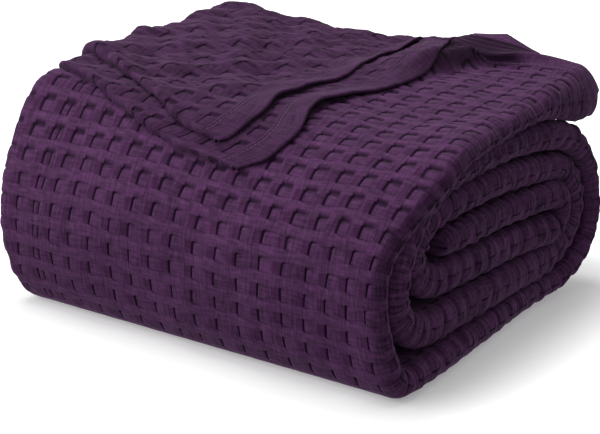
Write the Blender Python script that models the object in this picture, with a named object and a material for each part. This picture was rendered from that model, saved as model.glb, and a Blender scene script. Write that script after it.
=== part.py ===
"""A waffle weave cotton blanket, folded into a thick strip and wound into an oval roll.

Blender 4.5, metres, +Z up. The roll lies on the floor along X; its spiral shows at both ends,
the front is at -Y, and the strip's loose end lies on top, at the back. The middle of the
floor under the roll is the origin.

The blanket is one piece of cloth, so it is one solid: the wound strip, and on top of it the two
plies whose corner is turned over, which grow out of the strip at their fold.
"""

import math
from collections import namedtuple

import bmesh
import bpy
from mathutils import Vector
from mathutils.bvhtree import BVHTree

# ---------------------------------------------------------------- driving sizes, in metres
STRIP_WIDTH = 0.347         # the folded strip from fold to fold, where it doesn't bulge
ROLL_DEPTH = 0.306          # front to back
ROLL_HEIGHT = 0.167         # at the right end, the floor to the top turn
PLY = 0.003                 # one layer of the cloth
FOLD_ROUND = 0.011          # how far the folds at the strip's two sides are rounded in
END_ROUND = 0.005           # how far the strip's two ends are rounded in
END_THIN = 0.55             # what is left of the thickness at the tip of a rounded end
PRESSED = 0.002             # what lies lower than this is pressed flat on the floor
COTTON = (0.112, 0.047, 0.121, 1.0)

# The strip's middle line, walked from the loose end inwards and seen from the right end, with
# y from the roll's front and z from the floor: one straight run a row, then the far point of
# the half-round bend that leads into the next run. crown is how far the run's middle is lifted.
Run = namedtuple("Run", "name y_start z_start y_end z_end crown thick_start thick_end bend_y bend_z")
RUNS = (
    Run("top", 0.284, 0.1580, 0.118, 0.1505, 0.0035, 0.0210, 0.0160, 0.0090, 0.0600),
    Run("bottom", 0.027, 0.0095, 0.235, 0.0120, -0.0010, 0.0185, 0.0180, 0.2970, 0.0600),
    Run("second_top", 0.221, 0.1305, 0.106, 0.1315, 0.0030, 0.0180, 0.0170, 0.0295, 0.0630),
    Run("second_bottom", 0.072, 0.0328, 0.215, 0.0337, 0.0, 0.0235, 0.0235, 0.2745, 0.0680),
    Run("third_top", 0.224, 0.1065, 0.096, 0.1080, 0.0035, 0.0190, 0.0185, 0.0580, 0.0810),
    Run("inner_bottom", 0.088, 0.0600, 0.232, 0.0590, 0.0, 0.0240, 0.0225, 0.2465, 0.0720),
    Run("inner_top", 0.232, 0.0850, 0.088, 0.0840, 0.0015, 0.0185, 0.0185, None, None),
)
LOOSE_STEPS = 14            # stations along the first run, which has the strip's loose end
RUN_STEPS = 4               # and along each other run
QUARTER_STEPS = 6           # stations along half a bend
ARC_STEPS = 6               # round each fold at the strip's sides
WIDE_STEPS = 13             # along the strip's width

# How far the strip's right-hand fold stays back along its length, by fractions of the walk in.
Wander = namedtuple("Wander", "walk back")
RIGHT_FOLD = (
    Wander(0.00, 0.0060), Wander(0.009, 0.0015), Wander(0.07, 0.002), Wander(0.12, 0.000),
    Wander(0.16, 0.0135), Wander(0.21, 0.005), Wander(0.30, 0.010), Wander(0.345, 0.0015),
    Wander(0.385, 0.002), Wander(0.44, 0.010), Wander(0.53, 0.012), Wander(0.62, 0.011),
    Wander(0.674, 0.007), Wander(0.745, 0.012), Wander(0.805, 0.018), Wander(0.87, 0.014),
    Wander(0.913, 0.004), Wander(0.96, 0.012), Wander(1.00, 0.014),
)

# The pile is loose. Pairs say where something starts and where it is full: leftward by shares
# of the roll's length from its right end, up by shares of its height, and y from the front.
FRONT_RISE = 0.018          # how much higher the top stands at the left end, over the front
TOP_RISE = 0.011            # and further back, where the rise also starts later
TOP_Y = (0.050, 0.090)
LEFT_SPAN = (0.09, 0.96)
TOP_LATER = 0.31
SHOULDER_RISE = 0.0085      # the swelling over the front at the left
SHOULDER_Y = 0.053
SHOULDER_REACH = 0.022
SHOULDER_SPAN = (0.45, 1.0)
SHOULDER_UP = (0.50, 0.85)
BACK_RISE = 0.005           # the left corner at the back
BACK_Y = (0.240, 0.280)
BACK_SPAN = (0.80, 0.98)
HIGH_UP = (0.70, 0.95)
BULGE = 0.003               # how far the left folds bulge out, and how far they stay in below
BULGE_LOW = -0.002
BULGE_X = (0.150, 0.1735)
BULGE_UP = (0.0, 0.050)

# The strip's loose end: at the right it swells and sags, and further left its edge curls up.
LOOSE_ABOVE = 0.1435        # only the loose end reaches so high so far back
LOOSE_MIDDLE = 0.158
SWELL = 0.92                # how much thicker it gets at the right
SAG = 0.0055
SWELL_Y = (0.190, 0.284)
SWELL_X = (0.020, 0.120)
SWELL_OUT = 0.15            # how much further its lower side reaches to the right
LEAN = 0.35                 # how much further its lower side reaches to the back
LEAN_Y = (0.250, 0.288)
CURL_X = 0.076
CURL_REACH = 0.050
CURL_RATE = 44.0            # the curl's turn in radians for each metre of the strip
CURL_Y = 0.246
STRAIGHT = 1e-6             # a turn of less than this is none
CURL_RISE = 0.003
CURL_RISE_Y = (0.240, 0.284)

# The turned-over plies, by rows going back from the front tip. along is the distance from the
# strip's loose end on its outer side; the fold that they turn about and the hem are world x.
Row = namedtuple("Row", "along fold hem")
UNDER_PLY = (
    Row(0.2755, 0.024, 0.0330), Row(0.2741, 0.002, 0.0345), Row(0.2720, -0.022, 0.0370),
    Row(0.2690, -0.040, 0.0410), Row(0.2640, -0.058, 0.0465), Row(0.2585, -0.075, 0.0505),
    Row(0.2505, -0.098, 0.0545), Row(0.2420, -0.123, 0.0562), Row(0.2340, -0.148, 0.0560),
    Row(0.2240, -0.163, 0.0550), Row(0.2100, -0.167, 0.0535), Row(0.1900, -0.167, 0.0565),
    Row(0.1720, -0.167, 0.0590), Row(0.1480, -0.167, 0.0650), Row(0.1150, -0.167, 0.0660),
    Row(0.0900, -0.167, 0.0605), Row(0.0580, -0.167, 0.0520), Row(0.0300, -0.167, 0.0455),
    Row(0.0110, -0.167, 0.0430),
)
UPPER_PLY = (
    Row(0.2612, 0.001, 0.0088), Row(0.2600, -0.009, 0.0105), Row(0.2575, -0.023, 0.0135),
    Row(0.2530, -0.038, 0.0170), Row(0.2460, -0.053, 0.0200), Row(0.2380, -0.069, 0.0220),
    Row(0.2300, -0.085, 0.0228), Row(0.2200, -0.107, 0.0222), Row(0.2080, -0.130, 0.0205),
    Row(0.1970, -0.148, 0.0205), Row(0.1860, -0.154, 0.0212), Row(0.1720, -0.154, 0.0215),
    Row(0.1550, -0.154, 0.0285), Row(0.1380, -0.154, 0.0310), Row(0.1060, -0.154, 0.0255),
    Row(0.0800, -0.154, 0.0235), Row(0.0560, -0.154, 0.0235), Row(0.0300, -0.154, 0.0290),
    Row(0.0140, -0.154, 0.0340),
)
ACROSS_STEPS = 12           # across each turned-over ply
PROBE = 0.015               # from how far over the strip its surface is looked for
LOOSE_GAP = 0.0013          # between one ply and the next where they lie loose
FOLD_REACH = 0.014          # from the fold to where a ply lies free of what is under it
SUNK = 0.0012               # how deep the under ply's middle starts in the strip
BURIED = 0.0018             # how deep the upper ply's fold starts in the under ply


Station = namedtuple("Station", "point normal half walked along")


def ease(value, start, end):
    """Rise softly from 0 at start to 1 at end."""
    part = min(max((value - start) / (end - start), 0.0), 1.0)
    return part * part * (3.0 - 2.0 * part)


def quarter(start, end, centre, steps):
    """Points of a quarter ellipse from start to end, leaving out the start."""
    points = []
    for step in range(1, steps + 1):
        turn = 0.5 * math.pi * step / steps
        y = centre[0] + (start[0] - centre[0]) * math.cos(turn) + (end[0] - centre[0]) * math.sin(turn)
        z = centre[1] + (start[1] - centre[1]) * math.cos(turn) + (end[1] - centre[1]) * math.sin(turn)
        points.append((y, z))
    return points


def beyond(end, inner):
    """The tip of a rounded end: a little past the end, seen from the point before it."""
    away = Vector((end[0] - inner[0], end[1] - inner[1])).normalized()
    return end[0] + END_ROUND * away.x, end[1] + END_ROUND * away.y


def run_points(run, steps):
    """Points and thicknesses along one run, both its ends among them."""
    points, thick = [], []
    for step in range(steps + 1):
        part = step / steps
        y = run.y_start + (run.y_end - run.y_start) * part
        z = run.z_start + (run.z_end - run.z_start) * part + run.crown * 4.0 * part * (1.0 - part)
        points.append((y, z))
        thick.append(run.thick_start + (run.thick_end - run.thick_start) * part)
    return points, thick


def winding():
    """The strip's middle line and thickness, from the loose end to the innermost end."""
    points, thick = [], []
    for index, run in enumerate(RUNS):
        run_line, run_thick = run_points(run, RUN_STEPS if index else LOOSE_STEPS)
        points += run_line if index == 0 else run_line[1:]
        thick += run_thick if index == 0 else run_thick[1:]
        if run.bend_y is None:
            break
        after = RUNS[index + 1]
        far = (run.bend_y, run.bend_z)
        points += quarter((run.y_end, run.z_end), far, (run.y_end, run.bend_z), QUARTER_STEPS)
        points += quarter(far, (after.y_start, after.z_start), (after.y_start, run.bend_z), QUARTER_STEPS)
        for step in range(1, 2 * QUARTER_STEPS + 1):
            part = step / (2 * QUARTER_STEPS)
            thick.append(run.thick_end + (after.thick_start - run.thick_end) * part)
    points = [beyond(points[0], points[1])] + points + [beyond(points[-1], points[-2])]
    thick = [END_THIN * thick[0]] + thick + [END_THIN * thick[-1]]
    return points, thick


def fold_back(walk):
    """How far the right-hand fold stays back at a fraction of the walk inwards."""
    for before, after in zip(RIGHT_FOLD, RIGHT_FOLD[1:]):
        if walk <= after.walk:
            return before.back + (after.back - before.back) * ease(walk, before.walk, after.walk)
    return RIGHT_FOLD[-1].back


def bump(value, middle, reach):
    """A bell of height 1."""
    return math.exp(-((value - middle) / reach) ** 2)


def curled(x, y, z):
    """The loose end's edge, bent upwards about the strip's middle line."""
    rate = CURL_RATE * bump(x, CURL_X, CURL_REACH)
    turn = rate * max(y - CURL_Y, 0.0)
    if turn < STRAIGHT:
        return y, z
    out = z - LOOSE_MIDDLE
    return (CURL_Y + math.sin(turn) / rate - out * math.sin(turn),
            LOOSE_MIDDLE + (1.0 - math.cos(turn)) / rate + out * math.cos(turn))


def settle(x, y, z):
    """Where a point of the even winding comes to lie, in world axes."""
    to_left = 0.5 - x / STRIP_WIDTH
    height = max(z, 0.0) / ROLL_HEIGHT
    high = ease(height, *HIGH_UP)
    on_top = ease(y, *TOP_Y)
    left = ease(to_left, LEFT_SPAN[0] + TOP_LATER * on_top, LEFT_SPAN[1])
    rise = (FRONT_RISE + (TOP_RISE - FRONT_RISE) * on_top) * height ** 2 * left
    shoulder = SHOULDER_RISE * bump(y, SHOULDER_Y, SHOULDER_REACH) * ease(height, *SHOULDER_UP)
    rise += shoulder * ease(to_left, *SHOULDER_SPAN)
    rise += BACK_RISE * ease(y, *BACK_Y) * ease(to_left, *BACK_SPAN) * high
    bulge = BULGE_LOW + (BULGE - BULGE_LOW) * ease(z, *BULGE_UP)
    settled_x, settled_y, settled_z = x - bulge * ease(-x, *BULGE_X), y, z
    if z > LOOSE_ABOVE:
        swelling = ease(y, *SWELL_Y) * ease(x, *SWELL_X)
        out = z - LOOSE_MIDDLE
        settled_x -= SWELL_OUT * swelling * out
        rise += CURL_RISE * bump(x, CURL_X, CURL_REACH) * ease(y, *CURL_RISE_Y) - SAG * swelling
        settled_y, settled_z = curled(x, y, z + SWELL * swelling * out)
        settled_y -= LEAN * out * ease(y, *LEAN_Y)
    lies_at = 0.0 if z < PRESSED else settled_z + rise
    return Vector((settled_x, settled_y - 0.5 * ROLL_DEPTH, lies_at))


def ring(point, normal, half, left, right):
    """One closed section across the strip: two flat sides and a round fold at each edge."""
    section = []
    for step in range(ARC_STEPS + 1):
        turn = math.pi * (step / ARC_STEPS - 0.5)
        section.append((right - FOLD_ROUND * (1.0 - math.cos(turn)), half * math.sin(turn)))
    flat_right, flat_left = right - FOLD_ROUND, left + FOLD_ROUND
    for step in range(1, WIDE_STEPS):
        section.append((flat_right + (flat_left - flat_right) * step / WIDE_STEPS, half))
    for step in range(ARC_STEPS + 1):
        turn = math.pi * (0.5 + step / ARC_STEPS)
        section.append((left + FOLD_ROUND * (1.0 + math.cos(turn)), half * math.sin(turn)))
    for step in range(1, WIDE_STEPS):
        section.append((flat_left + (flat_right - flat_left) * step / WIDE_STEPS, -half))
    return [settle(x, point[0] + normal[0] * out, point[1] + normal[1] * out) for x, out in section]


def normals_of(points):
    """Unit normals of a line in the YZ plane, on its outer side."""
    normals = []
    for index in range(len(points)):
        before = points[max(index - 1, 0)]
        after = points[min(index + 1, len(points) - 1)]
        along = Vector((after[0] - before[0], after[1] - before[1])).normalized()
        normals.append((along.y, -along.x))
    return normals


def loft(name, rings):
    """One closed mesh through rings of as many points each, with a face over each end."""
    mesh = bmesh.new()
    rows = [[mesh.verts.new(place) for place in section] for section in rings]
    for row, after in zip(rows, rows[1:]):
        for index in range(len(row)):
            beside = (index + 1) % len(row)
            mesh.faces.new((row[index], row[beside], after[beside], after[index]))
    mesh.faces.new(rows[0])
    mesh.faces.new(rows[-1])
    bmesh.ops.recalc_face_normals(mesh, faces=mesh.faces)
    bmesh.ops.triangulate(mesh, faces=mesh.faces)
    data = bpy.data.meshes.new(name)
    mesh.to_mesh(data)
    mesh.free()
    return bpy.data.objects.new(name, data)


def wound_strip(line):
    """The folded strip, wound from its loose end inwards."""
    length = line[-1].walked
    rings = []
    for station in line:
        right = 0.5 * STRIP_WIDTH - fold_back(station.walked / length)
        rings.append(ring(station.point, station.normal, station.half, -0.5 * STRIP_WIDTH, right))
    return loft("blanket", rings)


def stations():
    """The winding's stations: middle, outward normal, half thickness, and two distances."""
    points, thick = winding()
    normals = normals_of(points)
    found, walked, along, before = [], 0.0, 0.0, None
    for index, (point, normal, thickness) in enumerate(zip(points, normals, thick)):
        half = 0.5 * thickness
        outer = (point[0] + normal[0] * half, point[1] + normal[1] * half)
        if index:
            walked += math.dist(point, points[index - 1])
            along += math.dist(outer, before)
        found.append(Station(point, normal, half, walked, along))
        before = outer
    return found


def outer_at(line, along):
    """The outer side's y, z and outward normal at a distance from the loose end."""
    for a, b in zip(line, line[1:]):
        if along <= b.along:
            break
    part = (along - a.along) / (b.along - a.along)
    blend = [tuple(p + (q - p) * part for p, q in zip(first, second))
             for first, second in ((a.point, b.point), (a.normal, b.normal))]
    half = a.half + (b.half - a.half) * part
    (y, z), (ny, nz) = blend
    return y + ny * half, z + nz * half, ny, nz


def surface_of(item):
    """A search tree over an object's own mesh."""
    mesh = bmesh.new()
    mesh.from_mesh(item.data)
    tree = BVHTree.FromBMesh(mesh)
    mesh.free()
    return tree


def turned_ply(name, strip_top, line, rows, root, lift):
    """One turned-over ply, draped over the strip.

    root and lift are how high its middle lies over the strip, at the fold that it grows out of
    and where it lies loose.
    """
    rings = []
    for index, row in enumerate(rows):
        y, z, ny, nz = outer_at(line, row.along)
        upper, lower = [], []
        for step in range(ACROSS_STEPS + 1):
            x = row.fold + (row.hem - row.fold) * step / ACROSS_STEPS
            place = settle(x, y, z)
            up = (settle(x, y + ny * PLY, z + nz * PLY) - place).normalized()
            hit, _normal, _face, _far = strip_top.ray_cast(place + up * PROBE, -up)
            free = 0.0 if index == len(rows) - 1 else ease(x, row.fold, row.fold + FOLD_REACH)
            middle = root + (lift - root) * free
            upper.append(hit + up * (middle + 0.5 * PLY))
            lower.append(hit + up * (middle - 0.5 * PLY))
        rings.append(upper + lower[::-1])
    return loft(name, rings)


def join(body, other):
    """Fuse another solid into a body, as one closed solid."""
    modifier = body.modifiers.new(other.name, "BOOLEAN")
    modifier.operation = "UNION"
    modifier.solver = "EXACT"
    modifier.object = other


def tool_collection():
    """A collection for the solids that are only fused into the blanket."""
    tools = bpy.data.collections.new("turned_plies")
    tools.hide_render = True
    bpy.context.scene.collection.children.link(tools)
    return tools


def cotton():
    """The cloth's finish: matt, deep purple."""
    material = bpy.data.materials.new("purple_cotton")
    material.use_nodes = True
    shader = material.node_tree.nodes["Principled BSDF"]
    shader.inputs["Base Color"].default_value = COTTON
    shader.inputs["Roughness"].default_value = 0.92
    shader.inputs["Metallic"].default_value = 0.0
    return material


def main():
    """Clear the scene and make the blanket."""
    for item in list(bpy.data.objects):
        bpy.data.objects.remove(item)
    home = bpy.data.collections.new("waffle_blanket")
    bpy.context.scene.collection.children.link(home)
    line = stations()
    blanket = wound_strip(line)
    blanket.data.materials.append(cotton())
    home.objects.link(blanket)

    tools = tool_collection()
    strip_top = surface_of(blanket)
    under_lift = LOOSE_GAP + 0.5 * PLY
    upper_lift = under_lift + LOOSE_GAP + PLY
    upper_root = under_lift + PLY - BURIED
    for name, rows, root, lift in (
        ("under_ply", UNDER_PLY, -SUNK, under_lift),
        ("upper_ply", UPPER_PLY, upper_root, upper_lift),
    ):
        ply = turned_ply(name, strip_top, line, rows, root, lift)
        ply.display_type = "WIRE"
        tools.objects.link(ply)
        join(blanket, ply)


main()
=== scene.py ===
"""Looks of a rolled waffle weave cotton blanket.

The blanket's outer ply is laid over the wound solid as thin cloth: every cell of the weave, the
folds at both ends of the roll, the plain hems and the corner that is turned over on top. Sizes
are in metres. Across runs along the roll's length, along runs with the strip from its loose end
inwards, and both are measured on the cloth.
"""

import logging
import math
from dataclasses import dataclass, field
from enum import Enum
from typing import NamedTuple, Sequence

import bmesh
import bpy
import numpy as np
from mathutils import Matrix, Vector
from mathutils.bvhtree import BVHTree


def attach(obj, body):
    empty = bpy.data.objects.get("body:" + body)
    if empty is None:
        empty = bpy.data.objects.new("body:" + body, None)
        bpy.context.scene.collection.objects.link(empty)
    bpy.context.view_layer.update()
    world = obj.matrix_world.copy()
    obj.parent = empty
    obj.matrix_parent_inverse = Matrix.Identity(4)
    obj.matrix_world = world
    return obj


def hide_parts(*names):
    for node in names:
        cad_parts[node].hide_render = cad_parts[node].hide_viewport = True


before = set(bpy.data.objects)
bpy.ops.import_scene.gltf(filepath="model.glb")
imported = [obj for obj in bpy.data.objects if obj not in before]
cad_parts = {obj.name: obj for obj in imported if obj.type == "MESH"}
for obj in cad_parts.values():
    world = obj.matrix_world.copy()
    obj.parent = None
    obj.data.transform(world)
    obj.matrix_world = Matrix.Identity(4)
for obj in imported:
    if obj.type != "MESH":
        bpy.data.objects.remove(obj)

LOG = logging.getLogger("blanket")
MM = 0.001
WELD = 0.00002                   # points that lie closer are the same
HEM_FADE = (0.001, 0.004)        # how far past the plain hem the weave starts
Grid = np.ndarray
Pair = tuple[float, float]
Triple = tuple[float, float, float]


# ------------------------------------------------------------------ node trees
class Wire:
    """A value on its way through a node tree, with ordinary arithmetic."""

    def __init__(self, tree: bpy.types.NodeTree, socket: bpy.types.NodeSocket) -> None:
        """Hold the tree and the output that gives the value."""
        self.tree, self.socket = tree, socket

    def put(self, operation: str, *others: "float | Wire") -> "Wire":
        """Add one Math node, with the others as its second and third inputs."""
        return add(self.tree, "ShaderNodeMath", (self, *others), operation=operation)

    def __add__(self, other: "float | Wire") -> "Wire":
        """Add."""
        return self.put("ADD", other)

    def __sub__(self, other: "float | Wire") -> "Wire":
        """Subtract."""
        return self.put("SUBTRACT", other)

    def __rsub__(self, other: float) -> "Wire":
        """Subtract from a plain number."""
        return self.put("MULTIPLY", -1.0) + other

    def __mul__(self, other: "float | Wire") -> "Wire":
        """Multiply."""
        return self.put("MULTIPLY", other)

    def __truediv__(self, other: "float | Wire") -> "Wire":
        """Divide."""
        return self.put("DIVIDE", other)

    __radd__, __rmul__ = __add__, __mul__

    def ease(self, start: "float | Wire", end: "float | Wire") -> "Wire":
        """Rise softly from 0 at start to 1 at end."""
        return add(self.tree, "ShaderNodeMapRange", (self, start, end),
                   interpolation_type="SMOOTHSTEP")

    def between(self, low: "float | Wire", high: "float | Wire", soft: float) -> "Wire":
        """Be 1 between two values and 0 outside, with edges as wide as soft."""
        rising, falling = ((self - edge).ease(-0.5 * soft, 0.5 * soft) for edge in (low, high))
        return rising * (1.0 - falling)

    def bell(self, width: "float | Wire") -> "Wire":
        """Give a bell of height 1 round zero, which falls to about a third at width."""
        share = self / width
        return (share * share * -1.0).put("EXPONENT")

    def split(self) -> "tuple[Wire, Wire]":
        """Give the first two numbers of a vector."""
        parts = add(self.tree, "ShaderNodeSeparateXYZ", (self,)).socket.node
        return Wire(self.tree, parts.outputs[0]), Wire(self.tree, parts.outputs[1])


def feed(tree: bpy.types.NodeTree, value: "float | Wire", socket: bpy.types.NodeSocket) -> None:
    """Set a socket to a value, or link a wire to it.

    Args:
        tree: the tree that holds the socket.
        value: the value or wire.
        socket: the input.
    """
    if isinstance(value, Wire):
        tree.links.new(value.socket, socket)
    else:
        socket.default_value = value


def add(tree: bpy.types.NodeTree, kind: str, inputs: "Sequence | dict" = (),
        output: int | str = 0, **options: str) -> Wire:
    """Add a node.

    Args:
        tree: the tree that it goes into.
        kind: its type.
        inputs: values or wires for its first inputs, or for the inputs that a table names.
        output: which of its outputs is wanted.
        options: its own settings.

    Returns:
        The output.
    """
    node = tree.nodes.new(kind)
    for name, value in options.items():
        setattr(node, name, value)
    for key, value in (inputs if isinstance(inputs, dict) else dict(enumerate(inputs))).items():
        feed(tree, value, node.inputs[key])
    return Wire(tree, node.outputs[output])


def noise(place: Wire, scale: float, detail: float = 2.0) -> Wire:
    """Add a noise from 0 to 1, by its spots for each unit of the place and its octaves."""
    inputs = {"Vector": place, "Scale": scale, "Detail": detail}
    return add(place.tree, "ShaderNodeTexNoise", inputs)


def bump(height: Wire, distance: float, strength: float = 1.0) -> Wire:
    """Turn a height into the direction that a bumpy surface looks."""
    inputs = {"Height": height, "Distance": distance, "Strength": strength}
    return add(height.tree, "ShaderNodeBump", inputs)


class Surface:
    """A material in the making: its tree and its shader."""

    def __init__(self, name: str) -> None:
        """Start the material."""
        self.material = bpy.data.materials.new(name)
        self.material.use_nodes = True
        self.tree = self.material.node_tree
        self.shader = self.tree.nodes["Principled BSDF"]

    def shade(self, colour: Sequence[float], share: Wire) -> Wire:
        """Make a plain colour lighter or darker by a share."""
        return add(self.tree, "ShaderNodeVectorMath", {0: colour, "Scale": share},
                   operation="SCALE")

    def mix(self, first: Wire, second: Wire, share: Wire) -> Wire:
        """Mix two colours: all the first where the share is 0, all the second where it is 1."""
        return add(self.tree, "ShaderNodeMix", {0: share, 6: first, 7: second}, output=2,
                   data_type="RGBA")

    def finish(self, inputs: "dict[str, float | Sequence[float] | Wire]") -> bpy.types.Material:
        """Feed the shader.

        Args:
            inputs: values or wires by the names of the shader's inputs.

        Returns:
            The finished material.
        """
        for name, value in inputs.items():
            feed(self.tree, value, self.shader.inputs[name])
        return self.material


class Recipe:
    """A Geometry Nodes tree with named sizes and a finish, which can be run on a mesh."""

    def __init__(self, name: str, sizes: dict[str, float]) -> None:
        """Start the tree.

        Args:
            name: its name.
            sizes: the numbers that go in, by their names.
        """
        self.name, self.sizes = name, sizes
        self.tree = bpy.data.node_groups.new(name, "GeometryNodeTree")
        face = self.tree.interface
        self.inputs: dict[str, str] = {}
        kinds = {"Shape": "Geometry", **dict.fromkeys(sizes, "Float"), "Finish": "Material"}
        for key, kind in kinds.items():
            socket = face.new_socket(key, in_out="INPUT", socket_type="NodeSocket" + kind)
            self.inputs[key] = socket.identifier
            if key in sizes:
                socket.default_value = sizes[key]
        face.new_socket("Shape", in_out="OUTPUT", socket_type="NodeSocketGeometry")
        self.into = self.tree.nodes.new("NodeGroupInput")
        self.out = self.tree.nodes.new("NodeGroupOutput")

    def take(self, name: str) -> Wire:
        """Give one of the tree's inputs."""
        return Wire(self.tree, self.into.outputs[name])

    def read(self, name: str, kind: str = "FLOAT") -> Wire:
        """Read an attribute of the mesh."""
        return add(self.tree, "GeometryNodeInputNamedAttribute", {"Name": name},
                   output="Attribute", data_type=kind)

    def close(self, shape: Wire) -> None:
        """End the tree: everything is made real and gets its finish.

        Args:
            shape: what the tree has made.
        """
        real = add(self.tree, "GeometryNodeRealizeInstances", (shape,))
        done = add(self.tree, "GeometryNodeSetMaterial",
                   {"Geometry": real, "Material": self.take("Finish")})
        feed(self.tree, done, self.out.inputs[0])

    def run(self, name: str, mesh: bpy.types.Mesh, finish: bpy.types.Material,
            changed: dict[str, float] | None = None) -> bpy.types.Object:
        """Run the tree on a mesh.

        Args:
            name: the finished piece's name.
            mesh: the mesh that it works on, which is used up.
            finish: the piece's material.
            changed: sizes that differ from the usual ones.

        Returns:
            The finished piece, as a plain mesh.
        """
        item = bpy.data.objects.new(name, mesh)
        bpy.context.scene.collection.objects.link(item)
        modifier = item.modifiers.new(self.name, "NODES")
        modifier.node_group = self.tree
        for key, value in {**self.sizes, "Finish": finish, **(changed or {})}.items():
            modifier[self.inputs[key]] = value
        graph = bpy.context.evaluated_depsgraph_get()
        item.data = bpy.data.meshes.new_from_object(item.evaluated_get(graph))
        item.modifiers.remove(modifier)
        item.data.name = name
        bpy.data.meshes.remove(mesh)
        item.data.shade_smooth()
        return item


# ------------------------------------------------------------------ small curves
def ease(value: Grid, start: float, end: float) -> Grid:
    """Rise softly from 0 at start to 1 at end."""
    part = np.clip((value - start) / (end - start), 0.0, 1.0)
    return part * part * (3.0 - 2.0 * part)


def bell(value: Grid, middle: float, reach: float) -> Grid:
    """Give a bell of height 1 round its middle, which falls to about a third at its reach."""
    return np.exp(-((value - middle) / reach) ** 2)


def curve_through(at: Grid, knots: Sequence[float], values: Sequence[float]) -> Grid:
    """Read a smooth curve through a table's points.

    Args:
        at: where to read it.
        knots: the table's places, rising.
        values: the curve's values there.

    Returns:
        The curve's values.
    """
    knots, values = np.asarray(knots, float), np.asarray(values, float)
    slopes = np.gradient(values, knots)
    at = np.clip(at, knots[0], knots[-1])
    index = np.clip(np.searchsorted(knots, at, side="right") - 1, 0, len(knots) - 2)
    width = knots[index + 1] - knots[index]
    t = (at - knots[index]) / width
    t2, t3 = t * t, t * t * t
    return (
        (2 * t3 - 3 * t2 + 1) * values[index] + (t3 - 2 * t2 + t) * width * slopes[index]
        + (3 * t2 - 2 * t3) * values[index + 1] + (t3 - t2) * width * slopes[index + 1]
    )


class Wave(NamedTuple):
    """One slow wave of the cloth: its height, its lengths across and along, and its start."""

    height: float
    across: float
    along: float
    start: float


def waves(across: Grid, along: Grid, table: Sequence[Wave]) -> Grid:
    """Sum a table of waves.

    Args:
        across: where across.
        along: where along.
        table: the waves.

    Returns:
        Their sum.
    """
    total = np.zeros(np.broadcast(across, along).shape)
    for wave in table:
        turn = across / wave.across + along / wave.along
        total = total + wave.height * np.sin(2.0 * np.pi * turn + wave.start)
    return total


# ------------------------------------------------------------------ the weave
@dataclass(frozen=True)
class Cell:
    """One cell of the weave, with the places of its mesh lines."""

    across: float = 0.0186
    along: float = 0.0168
    end_gap: float = 0.3 * MM    # no line lies closer to the end of a row
    # in millimetres from the slit on the cell's left side, and from the slit's middle
    lines_across: tuple[float, ...] = (-1.0, -0.6, 0.0, 0.6, 1.0, 1.7, 3.4, 5.6, 7.8, 9.1,
                                       9.8, 10.7, 13.0, 16.0)
    lines_along: tuple[float, ...] = (-5.8, -5.0, -4.5, -4.0, -3.3, -1.8, 0.6, 3.4, 4.0,
                                      4.4, 4.8, 5.4, 7.0, 8.7)

    def lines(self, low: float, high: float, size: float, offsets: Sequence[float],
              phase: float) -> Grid:
        """Give the mesh lines of a row of cells.

        Args:
            low: where the row starts.
            high: where it ends.
            size: one cell's size.
            offsets: the lines in a cell, in millimetres.
            phase: where one slit lies.

        Returns:
            The lines, rising, with both ends among them.
        """
        first, last = math.floor((low - phase) / size) - 1, math.ceil((high - phase) / size) + 1
        found = sorted(phase + size * n + MM * offset
                       for n in range(first, last + 1) for offset in offsets)
        inside = [x for x in found if low + self.end_gap < x < high - self.end_gap]
        return np.array([low, *inside, high])


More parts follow.
